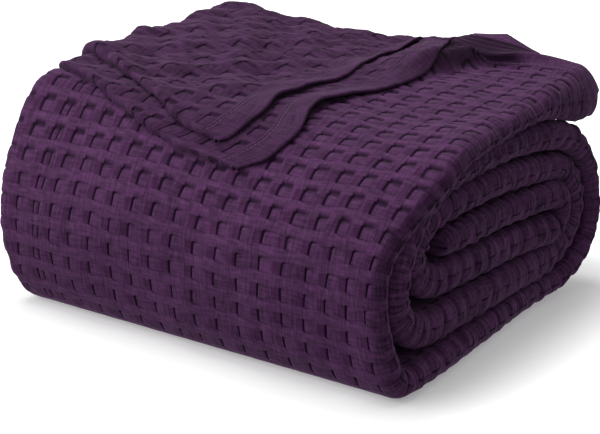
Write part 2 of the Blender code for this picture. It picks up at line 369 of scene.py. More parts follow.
@dataclass(frozen=True)
class Cotton:
    """Matt, deep purple cotton with a soft sheen, ribbed where the weave is sunk."""

    name: str = "purple_cotton"
    raised: Triple = (0.061, 0.0200, 0.066)
    # painted shade: sunk, darker and redder than raised, stands in for the shade in the ribbed
    # patch's shallow recess
    sunk: Triple = (0.044, 0.0104, 0.047)
    # painted shade: slit darkens the slits, the pads' edge lines and the grooves between the fold
    # ribs
    slit: Triple = (0.0155, 0.0024, 0.0180)
    painted_hollow_shade: Triple = (0.0160, 0.0034, 0.0170)  # painted shade beside the ridge and under the curled edge
    rib: float = 1.65 * MM
    yarn: float = 0.62 * MM
    thread: float = 0.00035              # how far the bumps stand
    flecks: float = 900.0                # spots a metre
    clouds: float = 34.0
    warps: Pair = (560.0, 85.0)          # streaks a metre across and along
    wefts: Pair = (80.0, 520.0)
    creases: Pair = (45.0, 330.0)
    sheen: float = 0.15
    sheen_rough: float = 0.40
    sheen_tint: tuple[float, float, float, float] = (0.72, 0.44, 0.78, 1.0)
    gloss: float = 0.10

    def material(self) -> bpy.types.Material:
        """Build the finish.

        Returns:
            The material, which reads the cloth's own coordinates and the weave's marks.
        """
        surface = Surface(self.name)
        tree = surface.tree
        cloth = add(tree, "ShaderNodeUVMap", uv_map="cloth")
        across, along = cloth.split()

        def grain(fine: Pair) -> Wire:
            """Add a noise that is drawn out along the yarns of one direction."""
            place = add(tree, "ShaderNodeCombineXYZ", (across * fine[0], along * fine[1]))
            return noise(place, 1.0, 1.0)

        patch, slit, line, band, fold, tone, deep = (
            add(tree, "ShaderNodeAttribute", output="Fac", attribute_name=name)
            for name in ("patch", "slit", "line", "band", "fold", "tone", "deep"))
        patch, slit = patch.ease(0.3, 0.7) * (tone * 0.5 + 0.9), slit.ease(0.30, 0.62)
        fleck, cloud = noise(cloth, self.flecks, 2.0), noise(cloth, self.clouds, 3.0)
        warp, weft = grain(self.warps), grain(self.wefts)
        ribs, yarns = ((way * (2.0 * math.pi / pitch)).put("SINE")
                       for way, pitch in ((across, self.rib), (along, self.yarn)))
        # the crease streaks round the folds are bumps, and painted highlight and shade in the
        # colour
        folded = (grain(self.creases) * 2.0 - 1.0) * fold

        mottle = (fleck * 0.45 + cloud * 0.35 + warp * (band * 0.5 + 1.25) + weft * 1.2
                  + folded * 1.15 + tone * 0.16 - 0.67)
        raised = surface.shade(self.raised, mottle)
        sunk = surface.shade(self.sunk, mottle + ribs * 0.12)
        # painted shade: the slits and lines turn dark, the sunk patches darker and redder
        dark = surface.shade(self.slit, fleck * 0.2 + 0.9)
        painted_groove_shade = (slit + line).put("MINIMUM", 1.0)
        relief_and_painted_shade = surface.mix(surface.mix(raised, sunk, patch), dark, painted_groove_shade)
        # painted shade: the colour turns dark beside the ridge and under the curl
        painted_hollow_shade = surface.shade(self.painted_hollow_shade, mottle * (1.0 - painted_groove_shade * 0.6))
        height = (ribs * (patch * 0.30) + yarns * 0.12 + warp * (band * 0.7 + 0.6) + weft * 0.7
                  + fleck * 0.8 + folded * 3.4)
        return surface.finish({
            "Base Color": surface.mix(relief_and_painted_shade, painted_hollow_shade, deep), "Roughness": fleck * 0.16 + 0.74,
            "Normal": bump(height, self.thread, 0.6), "Sheen Weight": self.sheen,
            "Sheen Roughness": self.sheen_rough, "Sheen Tint": self.sheen_tint,
            "Specular IOR Level": self.gloss,
        })


@dataclass(frozen=True)
class Thread:
    """Twisted sewing thread, a little lighter than the cloth."""

    name: str = "purple_thread"
    colour: Triple = (0.066, 0.0215, 0.071)
    twist: float = 2600.0
    strand: float = 0.0001
    sheen: float = 0.25

    def material(self) -> bpy.types.Material:
        """Build the finish.

        Returns:
            The material, which reads Object coordinates.
        """
        surface = Surface(self.name)
        share = noise(add(surface.tree, "ShaderNodeTexCoord", output="Object"), self.twist)
        return surface.finish({
            "Base Color": surface.shade(self.colour, share * 0.8 + 0.6),
            "Roughness": share * 0.2 + 0.45, "Normal": bump(share, self.strand),
            "Sheen Weight": self.sheen,
        })


@dataclass(frozen=True)
class SoftEdges:
    """How wide the soft edges of a cell's parts are."""

    row: float = 0.9 * MM
    pad: float = 1.3 * MM
    patch: float = 1.6 * MM
    patch_row: float = 3.4 * MM
    # the next one is the soft edge of the sunk patch's painted shade
    patch_shade_edge: float = 1.8 * MM
    slit_row: float = 1.2 * MM
    opening: float = 0.3 * MM
    web: float = 0.6 * MM        # the cloth on both sides of a slit, and the short painted shadows on top
    line: float = 1.2 * MM
    lip: float = 2.0 * MM
    band: float = 1.0 * MM


@dataclass
class Weave:
    """The waffle weave: it presses its cells into any piece of the cloth."""

    cell: Cell = field(default_factory=Cell)
    soft: SoftEdges = SoftEdges()
    pad_across: float = 9.2 * MM         # the raised pad's size
    pad_along: float = 8.6 * MM
    pad_from: float = 0.4 * MM           # from the slit to the pad
    pad_rise: float = 0.42 * MM
    pad_tilt: float = 0.35 * MM          # how much lower its far side lies
    patch_drop: float = 0.30 * MM        # the sunk, ribbed patch beside the pad
    patch_from: float = 2.0 * MM
    slit_depth: float = 1.3 * MM
    slit_width: float = 0.55 * MM
    line_depth: float = 1.1 * MM         # the thin lines on the pad's other sides
    line_width: float = 0.50 * MM
    line_at: float = 1.04                # from the pad's middle, as a share of half the pad
    line_from: float = -0.2 * MM         # and from the slit
    lip_rise: float = 0.20 * MM          # the cloth just above them
    lip_width: float = 1.2 * MM
    lip_from: float = 0.3 * MM
    band_rise: float = 0.10 * MM
    rib_depth: float = 0.30 * MM         # between the ribs round the folds
    scallop: float = 0.50 * MM           # how far each row of cells bulges there
    crinkle: float = 1.7 * MM            # uneven bumps round the folds
    crinkles: Pair = (1.6, 1.9)          # bumps to a cell, across and along
    seam_at: float = 5.6 * MM            # where the double seam lies in its cells
    seam_width: float = 0.85 * MM
    phase_across: float = 5.67 * 18.6 * MM
    hem: float = 0.024                   # the plain band along the blanket's edges
    hem_ridge: float = 0.55 * MM
    hem_ridges: tuple[Triple, ...] = (   # place, width and share
        (0.0, 0.9 * MM, 1.0), (-2.6 * MM, 0.7 * MM, 0.5))
    uneven: float = 0.45
    seed: int = 5

    def __post_init__(self) -> None:
        """Make the node tree once, for every piece."""
        self.recipe = self.build()

    def build(self) -> Recipe:
        """Build the node tree that presses the cells.

        Returns:
            The tree.
        """
        named = ("pad_across", "pad_along", "pad_rise", "pad_tilt", "patch_drop", "slit_depth",
                 "slit_width", "line_depth", "line_width", "band_rise", "rib_depth", "scallop",
                 "crinkle", "uneven", "hem_ridge")
        recipe = Recipe("waffle_weave", {
            "Cell Across": self.cell.across, "Cell Along": self.cell.along,
            **{name.replace("_", " ").title(): getattr(self, name) for name in named},
            "Hem Width": self.hem, "Seed": float(self.seed)})
        tree, read, soft = recipe.tree, recipe.read, self.soft
        size = {name: recipe.take(name) for name in recipe.sizes}
        across, along = read("across") / size["Cell Across"], read("along") / size["Cell Along"]
        column, row = across.put("FLOOR"), (along + 0.5).put("FLOOR")
        right = (across - column) * size["Cell Across"]      # from the slit, rightwards
        left = right - size["Cell Across"]                   # from the next slit
        down = (along - row) * size["Cell Along"]            # from the slit's middle
        half = size["Pad Along"] * 0.5
        top = half * -1.0

        def chance(salt: float) -> Wire:
            """Give each cell its own number from -1 to 1."""
            place = add(tree, "ShaderNodeCombineXYZ", (column, row, size["Seed"] + salt))
            white = add(tree, "ShaderNodeTexWhiteNoise", (place,), noise_dimensions="3D")
            return (white * 2.0 - 1.0) * size["Uneven"]

        def beside_slit(width: Wire) -> Wire:
            """Mark the cloth on both sides of a slit."""
            edges = width * -1.0, width, soft.opening
            return right.between(*edges) + left.between(*edges)

        # the pad, the sunk patch beside it, and the part of each that a slit or the patch's painted
        # shade takes
        in_row = down.between(top, half, soft.row)
        pad = right.between(self.pad_from, size["Pad Across"], soft.pad) * in_row
        beside = right.between(size["Pad Across"] + self.patch_from,
                               size["Cell Across"] + self.pad_from, soft.patch)
        beside = beside + (right + 0.2 * MM).between(-1.0 * MM, 0.2 * MM, soft.web)
        patch = beside * down.between(top, half * 1.05, soft.patch_row)
        # painted shade: where the sunk patch's colour turns darker and redder
        painted_patch_shade = beside * down.between(top, half, soft.patch_shade_edge)
        slit_row = down.between(half * -1.02, half * 0.98, soft.slit_row)
        bend, crease = read("bend"), read("crease")
        lower = row.ease(3.0, 6.0)       # the top lines show above the front, the low ones below
        upper = row.ease(3.5, 0.5)       # and on top the slits are narrow
        slit_size = size["Slit Width"] * (1.0 - upper * 0.10)
        slit = (right.bell(slit_size) + left.bell(slit_size)) * slit_row * (chance(1.0) * 0.6 + 1.0)
        # painted shade: the slits are coloured dark, a little wider than their trench
        painted_groove_shade = beside_slit(slit_size * (upper * 0.7 + 1.85)) * slit_row
        seam = read("seam") * (right - self.seam_at).bell(self.seam_width) * slit_row

        # the hooked lines that start at the slit, over and under the pad
        fade = 1.0 - right.ease(1.0 * MM, size["Pad Across"] * 0.85) * (0.80 - upper * 0.60)
        hook = 1.0 - right.ease(0.8 * MM, 3.4 * MM)
        reach = right.between(self.line_from, size["Pad Across"] * 0.98, soft.line)
        top_width = size["Line Width"] * (upper * 2.2 + 1.0)
        top_line = (down + half * (upper * 0.10 + self.line_at)).bell(top_width) * reach * fade
        top_line = top_line * (1.0 - lower * 0.7) * (hook * 0.6 + 0.8 + upper * 0.25)
        low_line = (down - half * self.line_at).bell(size["Line Width"] * 0.85) * reach * fade
        low_line = low_line * (lower * 0.8 + 0.35) * (hook * 0.6 + 0.8)
        # painted shadow: on top, a dark band just past each pad's far edge
        painted_pad_shadow = (down + half * 1.16).between(-2.6 * MM, 1.8 * MM, soft.web) * reach * upper
        lip = (down + half * 1.32).bell(self.lip_width)
        lip = lip * right.between(self.lip_from, size["Pad Across"], soft.lip)
        tilt = (1.0 - down.ease(top, half * 0.5)) * pad

        # round the folds
        ribs = (down + half * self.line_at).bell(size["Line Width"] * 2.6) * crease
        ribs = ribs * (chance(6.0) * 2.0 + 1.0)
        scallops = (down * (2.0 * math.pi) / size["Cell Along"]).put("COSINE") * crease
        scallops = scallops * (chance(9.0) * 2.0 + 1.0)
        relief_and_painted_shade = 1.0 - bend * 0.6          # the cells are stretched flat there
        spot = add(tree, "ShaderNodeCombineXYZ",
                   (across * self.crinkles[0], along * self.crinkles[1], size["Seed"]))
        lump = (noise(spot, 1.0) * 2.0 - 1.0) * (crease * 0.70 + 0.30)
        ridge: float | Wire = 0.0
        for place, width, share in self.hem_ridges:
            ridge = (read("hem") - size["Hem Width"] - place).bell(width) * share + ridge

        height = (
            pad * (size["Pad Rise"] * (chance(2.0) + 1.0)) * relief_and_painted_shade
            - tilt * (size["Pad Tilt"] * (chance(3.0) + 1.0)) * relief_and_painted_shade
            - patch * (size["Patch Drop"] * (chance(4.0) + 1.0)) * relief_and_painted_shade
            - slit * size["Slit Depth"] * relief_and_painted_shade
            - seam * size["Slit Depth"]
            - top_line * size["Line Depth"]
            - low_line * (size["Line Depth"] * 0.9) * relief_and_painted_shade
            + lip * self.lip_rise
            + (1.0 - in_row) * size["Band Rise"] * relief_and_painted_shade
            - ribs * size["Rib Depth"]
            + scallops * size["Scallop"]
        )
        loose = read("loose")
        whole = height * loose + lump * size["Crinkle"] + ridge * size["Hem Ridge"]
        move = add(tree, "ShaderNodeVectorMath",
                   {0: read("outward", "FLOAT_VECTOR"), "Scale": whole * read("open")},
                   operation="SCALE")
        shape = add(tree, "GeometryNodeSetPosition",
                    {"Geometry": recipe.take("Shape"), "Offset": move})
        # painted shade: the pads' edge lines, the grooves between the fold ribs and the painted
        # shadows on top darken the colour
        lines = (top_line * 0.95 + low_line * 0.9 * relief_and_painted_shade + ribs * 0.3
                 + painted_pad_shadow * (hook * 0.3 + 0.75))
        between_rows = (down - size["Cell Along"] * 0.5).put("ABSOLUTE").ease(3.5 * MM, 2.0 * MM)
        marks = {
            "patch": painted_patch_shade.put("MINIMUM", 1.0),
            "slit": (painted_groove_shade * (1.0 - bend * 0.35) + seam * 0.8).put("MINIMUM", 1.0),
            "line": lines.put("MINIMUM", 1.0),
            "tone": chance(7.0),
            "fold": crease,
            "band": between_rows * right.between(self.lip_from, size["Pad Across"], soft.band),
        }
        for name, value in marks.items():
            inputs = {"Geometry": shape, "Name": name, "Value": value * loose}
            shape = add(tree, "GeometryNodeStoreNamedAttribute", inputs, data_type="FLOAT",
                        domain="POINT")
        recipe.close(shape)
        return recipe

    def press(self, name: str, plain: bpy.types.Mesh, finish: bpy.types.Material,
              hem: float | None = None) -> bpy.types.Object:
        """Press the cells into a plain piece of cloth.

        Args:
            name: the finished piece's name.
            plain: the cloth without its weave, with its marks.
            finish: its material.
            hem: how wide its plain hem is, where it isn't the usual one.

        Returns:
            The finished piece, as a plain mesh.
        """
        item = self.recipe.run(name, plain, finish, {"Hem Width": hem or self.hem})
        attributes = item.data.attributes
        for mark in ("across", "along", "loose", "open", "outward", "bend", "crease", "seam",
                     "hem"):
            attributes.remove(attributes[mark])
        return item


# ------------------------------------------------------------------ the wound strip
class Run(NamedTuple):
    """A straight run of the strip, and the far point of the half-round bend after it."""

    y_start: float
    z_start: float
    y_end: float
    z_end: float
    crown: float
    thick_start: float
    thick_end: float
    bend_y: float | None
    bend_z: float | None


RUNS = (
    Run(0.284, 0.1580, 0.118, 0.1505, 0.0035, 0.0210, 0.0160, 0.0090, 0.0600),    # top
    Run(0.027, 0.0095, 0.235, 0.0120, -0.0010, 0.0185, 0.0180, 0.2970, 0.0600),    # bottom
    Run(0.221, 0.1305, 0.106, 0.1315, 0.0030, 0.0180, 0.0170, 0.0295, 0.0630),    # second top
    Run(0.072, 0.0328, 0.215, 0.0337, 0.0, 0.0235, 0.0235, 0.2745, 0.0680),    # second bottom
    Run(0.224, 0.1065, 0.096, 0.1080, 0.0035, 0.0190, 0.0185, 0.0580, 0.0810),    # third top
    Run(0.088, 0.0600, 0.232, 0.0590, 0.0, 0.0240, 0.0225, 0.2465, 0.0720),    # inner bottom
    Run(0.232, 0.0850, 0.088, 0.0840, 0.0015, 0.0185, 0.0185, None, None),    # inner top
)


@dataclass
class Winding:
    """The strip's middle line, its thickness, and the cloth's length round its outer side."""

    depth: float = 0.306
    tip: float = 0.008           # how far both ends are rounded in
    tip_out: float = 0.62        # the share of that by which they reach past the line's end
    tip_turn: float = 0.42       # how much of a half-turn the rounding makes
    loose_plies: int = 4         # the edges of the plies that show in the loose end
    inner_plies: int = 2
    ply_ridge: float = 0.0011    # and how far they stand out
    run_steps: int = 40
    quarter_steps: int = 40
    front_row: int = 5           # the row of cells that lies furthest forward

    def __post_init__(self) -> None:
        """Walk the line once."""
        y, z, thick = [], [], []
        for index, run in enumerate(RUNS):
            part = np.linspace(0.0, 1.0, self.run_steps + 1)
            y.append(run.y_start + (run.y_end - run.y_start) * part)
            z.append(run.z_start + (run.z_end - run.z_start) * part
                     + run.crown * 4.0 * part * (1.0 - part))
            thick.append(run.thick_start + (run.thick_end - run.thick_start) * part)
            if run.bend_y is None:
                break
            after = RUNS[index + 1]
            turn = 0.5 * np.pi * np.arange(1, self.quarter_steps + 1) / self.quarter_steps
            for start, end, middle_y in (
                ((run.y_end, run.z_end), (run.bend_y, run.bend_z), run.y_end),
                ((run.bend_y, run.bend_z), (after.y_start, after.z_start), after.y_start),
            ):
                for found, middle, a, b in ((y, middle_y, start[0], end[0]),
                                            (z, run.bend_z, start[1], end[1])):
                    found.append(middle + (a - middle) * np.cos(turn) + (b - middle) * np.sin(turn))
            part = np.arange(1, 2 * self.quarter_steps + 1) / (2 * self.quarter_steps)
            thick.append(run.thick_end + (after.thick_start - run.thick_end) * part)
        y, z, thick = np.concatenate(y), np.concatenate(z), np.concatenate(thick)
        keep = np.concatenate([[True], np.hypot(np.diff(y), np.diff(z)) > 1e-7])
        y, z, thick = y[keep], z[keep], thick[keep]
        y, z, thick = self.with_tips(y, z, thick)
        dy, dz = np.gradient(y), np.gradient(z)
        for tip, beside in ((slice(0, self.loose_points + 1), self.loose_points + 2),
                            (slice(-self.inner_points - 1, None), -self.inner_points - 3)):
            dy[tip], dz[tip] = dy[beside], dz[beside]
        size = np.hypot(dy, dz)
        self.y, self.z, self.ny, self.nz = y, z, dz / size, -dy / size
        self.half = 0.5 * thick
        outer_y, outer_z = y + self.ny * self.half, z + self.nz * self.half
        steps = np.hypot(np.diff(outer_y), np.diff(outer_z))
        self.along = np.concatenate([[0.0], np.cumsum(steps)])
        walk = np.concatenate([[0.0], np.cumsum(np.hypot(np.diff(y), np.diff(z)))])
        self.walk = walk / walk[-1]
        self.length = float(self.along[-1])
        front = int(np.argmin(y[: 3 * self.quarter_steps + self.run_steps]))
        self.front = float(self.along[front])
        self.phase = self.front - self.front_row * Cell().along

    def with_tips(self, y: Grid, z: Grid, thick: Grid) -> tuple[Grid, Grid, Grid]:
        """Round both ends of the strip.

        Args:
            y: the line's places from the front.
            z: its heights.
            thick: the strip's thickness.

        Returns:
            The same with close points at both ends, where the thickness falls away.
        """
        def rounded(ya: float, za: float, yb: float, zb: float, t: float,
                    plies: int) -> tuple[Grid, Grid, Grid]:
            """Give the points of one tip, from its end inwards."""
            away = np.array([ya - yb, za - zb]) / math.hypot(ya - yb, za - zb)
            turn = np.linspace(0.0, self.tip_turn * np.pi, 6 * plies + 1)
            share = np.sin(turn)
            out = self.tip_out * self.tip - self.tip * (1.0 - np.cos(turn))
            out = out - self.ply_ridge * (0.5 + 0.5 * np.cos(2.0 * np.pi * plies * share))
            return ya + away[0] * out, za + away[1] * out, t * share

        a = rounded(y[0], z[0], y[6], z[6], thick[0], self.loose_plies)
        b = rounded(y[-1], z[-1], y[-7], z[-7], thick[-1], self.inner_plies)
        inner = slice(2, -2)
        self.loose_points, self.inner_points = len(a[0]), len(b[0])
        return tuple(np.concatenate([p, q[inner], r[::-1]])
                     for p, q, r in zip(a, (y, z, thick), b))

    def at(self, along: Grid) -> dict[str, Grid]:
        """Read the line at distances along the cloth.

        Args:
            along: the distances.

        Returns:
            The middle's y and z, the outer side's direction, half the thickness and the share
            walked.
        """
        names = ("y", "z", "ny", "nz", "half", "walk")
        found = {name: np.interp(along, self.along, getattr(self, name)) for name in names}
        size = np.hypot(found["ny"], found["nz"])
        found["ny"], found["nz"] = found["ny"] / size, found["nz"] / size
        return found


class Wander(NamedTuple):
    """How far the strip's right-hand fold stays back at a share of the walk inwards."""

    walk: float
    back: float


class Foot(NamedTuple):
    """How far right the foot of the ridge lies at a distance from the front."""

    y: float
    x: float


@dataclass(frozen=True)
class Pile:
    """How the loose pile settles: what stands higher or further out than the even winding.

    Pairs say where something starts and where it is full: leftward by shares of the roll's
    length from its right end, up by shares of its height, and y from the front.
    """

    middle_y: float = 0.153          # from the front to the roll's middle
    front_rise: float = 0.018        # how much higher the top is at the left end, over the front
    top_rise: float = 0.011          # and further back, where the rise also starts later
    top_y: Pair = (0.050, 0.090)
    left_span: Pair = (0.09, 0.96)
    top_later: float = 0.31
    shoulder_rise: float = 0.0085    # the swelling over the front at the left
    shoulder_y: float = 0.053
    shoulder_reach: float = 0.022
    shoulder_span: Pair = (0.45, 1.0)
    shoulder_up: Pair = (0.50, 0.85)
    back_rise: float = 0.005         # the left corner at the back
    back_y: Pair = (0.240, 0.280)
    back_span: Pair = (0.80, 0.98)
    high_up: Pair = (0.70, 0.95)
    bulge: float = 0.003             # how far the left folds bulge out
    bulge_low: float = -0.008        # and how far they stay in near the floor
    bulge_x: Pair = (0.150, 0.1735)
    bulge_up: Pair = (0.0, 0.050)
    loose_above: float = 0.1435      # only the loose end reaches so high so far back
    loose_middle: float = 0.158
    swell: float = 0.92              # how much thicker the loose end gets at the right
    sag: float = 0.0070
    swell_y: Pair = (0.190, 0.284)
    swell_x: Pair = (0.020, 0.120)
    swell_out: float = 0.15          # how much further its lower side reaches to the right
    lean: float = 0.35               # and how much further to the back
    lean_y: Pair = (0.250, 0.288)
    ridge_rise: float = 0.014        # the ridge that the plies lie over, right before the curl
    ridge_y: Pair = (0.140, 0.215)
    ridge_back: Pair = (0.250, 0.280)
    ridge_slope: float = 0.017       # how wide its right slope is
    ridge_left: Pair = (0.010, 0.055)
    ridge_up: Pair = (0.150, 0.166)
    foot: tuple[Foot, ...] = (Foot(0.130, 0.077), Foot(0.165, 0.078), Foot(0.205, 0.081),
                              Foot(0.233, 0.091), Foot(0.264, 0.101), Foot(0.295, 0.114))
    hollow_soft: float = 0.010       # how softly the painted shade beside the ridge begins
    hollow_y: Pair = (0.140, 0.195)
    hollow_wide: Pair = (0.06, 0.04)  # and how far left of the foot it ends
    steep: Pair = (-0.93, -0.70)     # the painted shade on the curl's inner side, by its direction
    steep_y: Pair = (0.222, 0.238)
    steep_x: Pair = (-0.128, -0.114)
    lip_along: Pair = (-0.042, -0.030)  # and its rounded end
    lip_x: Pair = (0.050, 0.062)
    curl_x: float = 0.088            # where the loose end's edge curls up
    curl_reach: float = 0.050
    curl_rate: float = 47.0          # its turn in radians for each metre of the strip
    curl_y: float = 0.246
    curl_rise: float = 0.006
    curl_rise_y: Pair = (0.240, 0.284)

    def foot_at(self, y: Grid) -> Grid:
        """Give where the foot of the ridge lies along the roll, at distances from the front."""
        return curve_through(y, [foot.y for foot in self.foot], [foot.x for foot in self.foot])

    def painted_hollow_shade(self, places: Grid, outward: Grid, along: Grid) -> Grid:
        """Tell how far points of the cloth lie in the painted shade beside the ridge and under the
        curl.

        Args:
            places: the settled points of the loose end's upper side.
            outward: the directions that it looks.
            along: the points' distances from the loose end.

        Returns:
            Shares, 1 in the hollow.
        """
        x, y = places[..., 0], places[..., 1] + self.middle_y
        inside, curled = self.foot_at(y) - x, ease(-x, *self.steep_x)
        beside = ease(inside, 0.0, self.hollow_soft) * ease(y, *self.hollow_y)
        beside = beside * ease(inside, *self.hollow_wide)
        steep = ease(-outward[..., 2], *self.steep) * ease(y, *self.steep_y) * curled
        lip = ease(-along, *self.lip_along) * curled * ease(x, *self.lip_x)
        return np.maximum(beside, np.maximum(steep, lip))


@dataclass
class Strip:
    """The folded strip: where any point of its cloth comes to lie."""

    winding: Winding
    pile: Pile = field(default_factory=Pile)
    width: float = 0.347
    height: float = 0.167
    fold_round: float = 0.011
    flat_front: float = 0.006    # how much less it is rounded where the strip goes down the front
    front_walk: float = 0.140    # the middle of that stretch, as a share of the walk inwards
    front_reach: float = 0.040
    pressed: float = 0.002
    still: float = 0.100         # the weave keeps its columns up to this far right of the middle
    tip_across: float = 0.1785   # the cloth's length from the middle to the right fold's tip
    right_fold: tuple[Wander, ...] = (
        Wander(0.00, 0.0060), Wander(0.009, 0.0015), Wander(0.07, 0.002), Wander(0.12, 0.000),
        Wander(0.16, 0.0160), Wander(0.21, 0.004), Wander(0.30, 0.0105), Wander(0.345, 0.0015),
        Wander(0.385, 0.002), Wander(0.44, 0.010),
        Wander(0.53, 0.012), Wander(0.62, 0.011), Wander(0.674, 0.007), Wander(0.745, 0.012),
        Wander(0.805, 0.018), Wander(0.87, 0.014), Wander(0.913, 0.004), Wander(0.96, 0.012),
        Wander(1.00, 0.014),
    )
    sway: tuple[Wave, ...] = (Wave(0.7 * MM, 0.31, 0.12, 0.4), Wave(0.5 * MM, 0.11, -0.23, 2.1),
                              Wave(0.28 * MM, 0.047, 0.039, 1.0),
                              Wave(0.22 * MM, -0.029, 0.051, 4.0))
    slip: tuple[Wave, ...] = (Wave(0.8 * MM, 0.19, 0.34, 1.3), Wave(0.45 * MM, 0.083, -0.15, 0.2),
                              Wave(0.25 * MM, 0.036, 0.061, 3.1))
    swell: tuple[Wave, ...] = (Wave(0.9 * MM, 0.16, 0.21, 0.9), Wave(0.6 * MM, -0.094, 0.13, 2.4),
                               Wave(0.35 * MM, 0.052, 0.071, 5.2),
                               Wave(0.25 * MM, 0.034, -0.045, 1.7))
    swell_up: Pair = (0.004, 0.03)  # from the floor
    swell_end: float = 0.45      # the share of the cloth's length where the swelling ends
    soft_end: float = 0.02       # over how much cloth the waves start
    soft_start: float = 0.03
    floor_gap: float = 0.2 * MM
    feel: float = 0.5 * MM       # how far out a point is tried for its outward direction
    felt: float = 0.1 * MM       # and how far it has to come

    def rounding(self, walk: Grid) -> Grid:
        """Give how far the side folds are rounded in, at shares of the walk inwards."""
        return self.fold_round - self.flat_front * bell(walk, self.front_walk, self.front_reach)

    def quarter(self, a: Grid, b: Grid) -> Grid:
        """Give the length round a quarter of a side fold, rounded in by a, of half thickness b."""
        return 0.25 * np.pi * (3.0 * (a + b) - np.sqrt((3.0 * a + b) * (a + 3.0 * b)))

    def fold_back(self, walk: Grid) -> Grid:
        """Give how far the right-hand fold stays back.

        Args:
            walk: shares of the walk inwards.

        Returns:
            The distances.
        """
        table = self.right_fold
        back = np.full(np.shape(walk), table[0].back)
        for before, after in zip(table, table[1:]):
            back = back + (after.back - before.back) * ease(walk, before.walk, after.walk)
        return back

    def settle(self, x: Grid, y: Grid, z: Grid) -> Grid:
        """Move points of the even winding to where they come to lie.

        Args:
            x: places along the roll, from its middle.
            y: places from the front.
            z: heights.

        Returns:
            The points, in the row frame.
        """
        pile = self.pile
        to_left = 0.5 - x / self.width
        height = np.maximum(z, 0.0) / self.height
        high = ease(height, *pile.high_up)
        on_top = ease(y, *pile.top_y)
        start = pile.left_span[0] + pile.top_later * on_top
        left = ease((to_left - start) / (pile.left_span[1] - start), 0.0, 1.0)
        rise = (pile.front_rise + (pile.top_rise - pile.front_rise) * on_top) * height ** 2 * left
        shoulder = pile.shoulder_rise * bell(y, pile.shoulder_y, pile.shoulder_reach)
        shoulder = shoulder * ease(height, *pile.shoulder_up)
        rise = rise + shoulder * ease(to_left, *pile.shoulder_span)
        rise = rise + pile.back_rise * ease(y, *pile.back_y) * ease(to_left, *pile.back_span) * high
        bulge = pile.bulge_low + (pile.bulge - pile.bulge_low) * ease(z, *pile.bulge_up)
        x_settled = x - bulge * ease(-x, *pile.bulge_x)

        loose = np.where(z > pile.loose_above, 1.0, 0.0)
        swelling = ease(y, *pile.swell_y) * ease(x, *pile.swell_x) * loose
        out = z - pile.loose_middle
        x_settled = x_settled - pile.swell_out * swelling * out
        edge = bell(x, pile.curl_x, pile.curl_reach)
        rise = rise + loose * pile.curl_rise * edge * ease(y, *pile.curl_rise_y)
        rise = rise - pile.sag * swelling
        ridge = 1.0 - ease(x - pile.foot_at(y), -pile.ridge_slope, 0.0)
        ridge = ridge * ease(x, *pile.ridge_left) * ease(y, *pile.ridge_y) * ease(z, *pile.ridge_up)
        rise = rise + loose * pile.ridge_rise * ridge * (1.0 - ease(y, *pile.ridge_back))
        rate = np.maximum(pile.curl_rate * edge, 1e-4)
        turn = rate * np.maximum(y - pile.curl_y, 0.0) * loose
        swollen = out * (1.0 + pile.swell * swelling)
        y_curled = y - turn / rate + (np.sin(turn) / rate - swollen * np.sin(turn))
        z_curled = pile.loose_middle + (1.0 - np.cos(turn)) / rate + swollen * np.cos(turn)
        y_curled = y_curled - loose * pile.lean * out * ease(y, *pile.lean_y)
        lies_at = np.where(z < self.pressed, np.maximum(z, self.floor_gap), z_curled + rise)
        return np.stack([x_settled, y_curled - 0.5 * self.winding.depth, lies_at], axis=-1)

    def place(self, along: Grid, across: Grid, lift: "Grid | float" = 0.0) -> tuple[Grid, Grid]:
        """Lay points of the cloth on the strip.

        Args:
            along: distances from the loose end.
            across: distances from the middle of the outer side, rightwards and on round the
                right fold to the inner side.
            lift: how far above the strip they lie.

        Returns:
            The points and their outward directions.
        """
        along, across = np.broadcast_arrays(along, across)
        slipped = along + waves(across, along, self.slip) * ease(along, 0.0, self.soft_start)
        line = self.winding.at(np.clip(slipped, 0.0, self.winding.length))
        rounding = self.rounding(line["walk"])
        quarter = self.quarter(rounding, line["half"])
        right = 0.5 * self.width - self.fold_back(line["walk"])
        left = 0.5 * self.width
        tip = right - rounding + quarter          # cloth from the middle to the tip
        far = left - rounding + quarter
        outer = across <= self.tip_across
        beside = np.where(outer, across, 2.0 * self.tip_across - across)
        past, room = beside - self.still, self.tip_across - self.still
        beside = np.where(past > 0.0, self.still + past * (tip - self.still) / room, beside)
        calm = ease(tip - beside, 0.0, self.soft_end) * ease(far + beside, 0.0, self.soft_end)
        beside = beside + waves(across, along, self.sway) * calm
        over_right = np.clip((beside - (right - rounding)) / quarter, 0.0, 1.0)
        over_left = np.clip((-(left - rounding) - beside) / quarter, 0.0, 1.0)
        turn = 0.5 * np.pi * np.maximum(over_right, over_left)
        x = np.where(over_right > 0.0, right - rounding * (1.0 - np.sin(turn)),
                     np.where(over_left > 0.0, -left + rounding * (1.0 - np.sin(turn)), beside))
        side = np.where(over_right > 0.0, 1.0, -1.0) * np.sin(turn)
        face = np.cos(turn) * np.where(outer, 1.0, -1.0)
        out = line["half"] * face
        y, z = line["y"] + line["ny"] * out, line["z"] + line["nz"] * out
        base = self.settle(x, y, z)
        plain = np.stack([side, line["ny"] * face, line["nz"] * face], axis=-1)
        plain = plain / np.linalg.norm(plain, axis=-1, keepdims=True)
        step = self.feel * plain
        outward = self.settle(x + step[..., 0], y + step[..., 1], z + step[..., 2]) - base
        size = np.linalg.norm(outward, axis=-1, keepdims=True)
        outward = np.where(size > self.felt, outward / np.maximum(size, self.felt), plain)
        open_air = np.where(outer, 1.0, 0.0) * ease(base[..., 2], *self.swell_up)
        swell = waves(across, along, self.swell) * open_air
        swell = swell * ease(self.winding.length * self.swell_end - along, 0.0, self.soft_end)
        return base + outward * (swell + lift)[..., None], outward


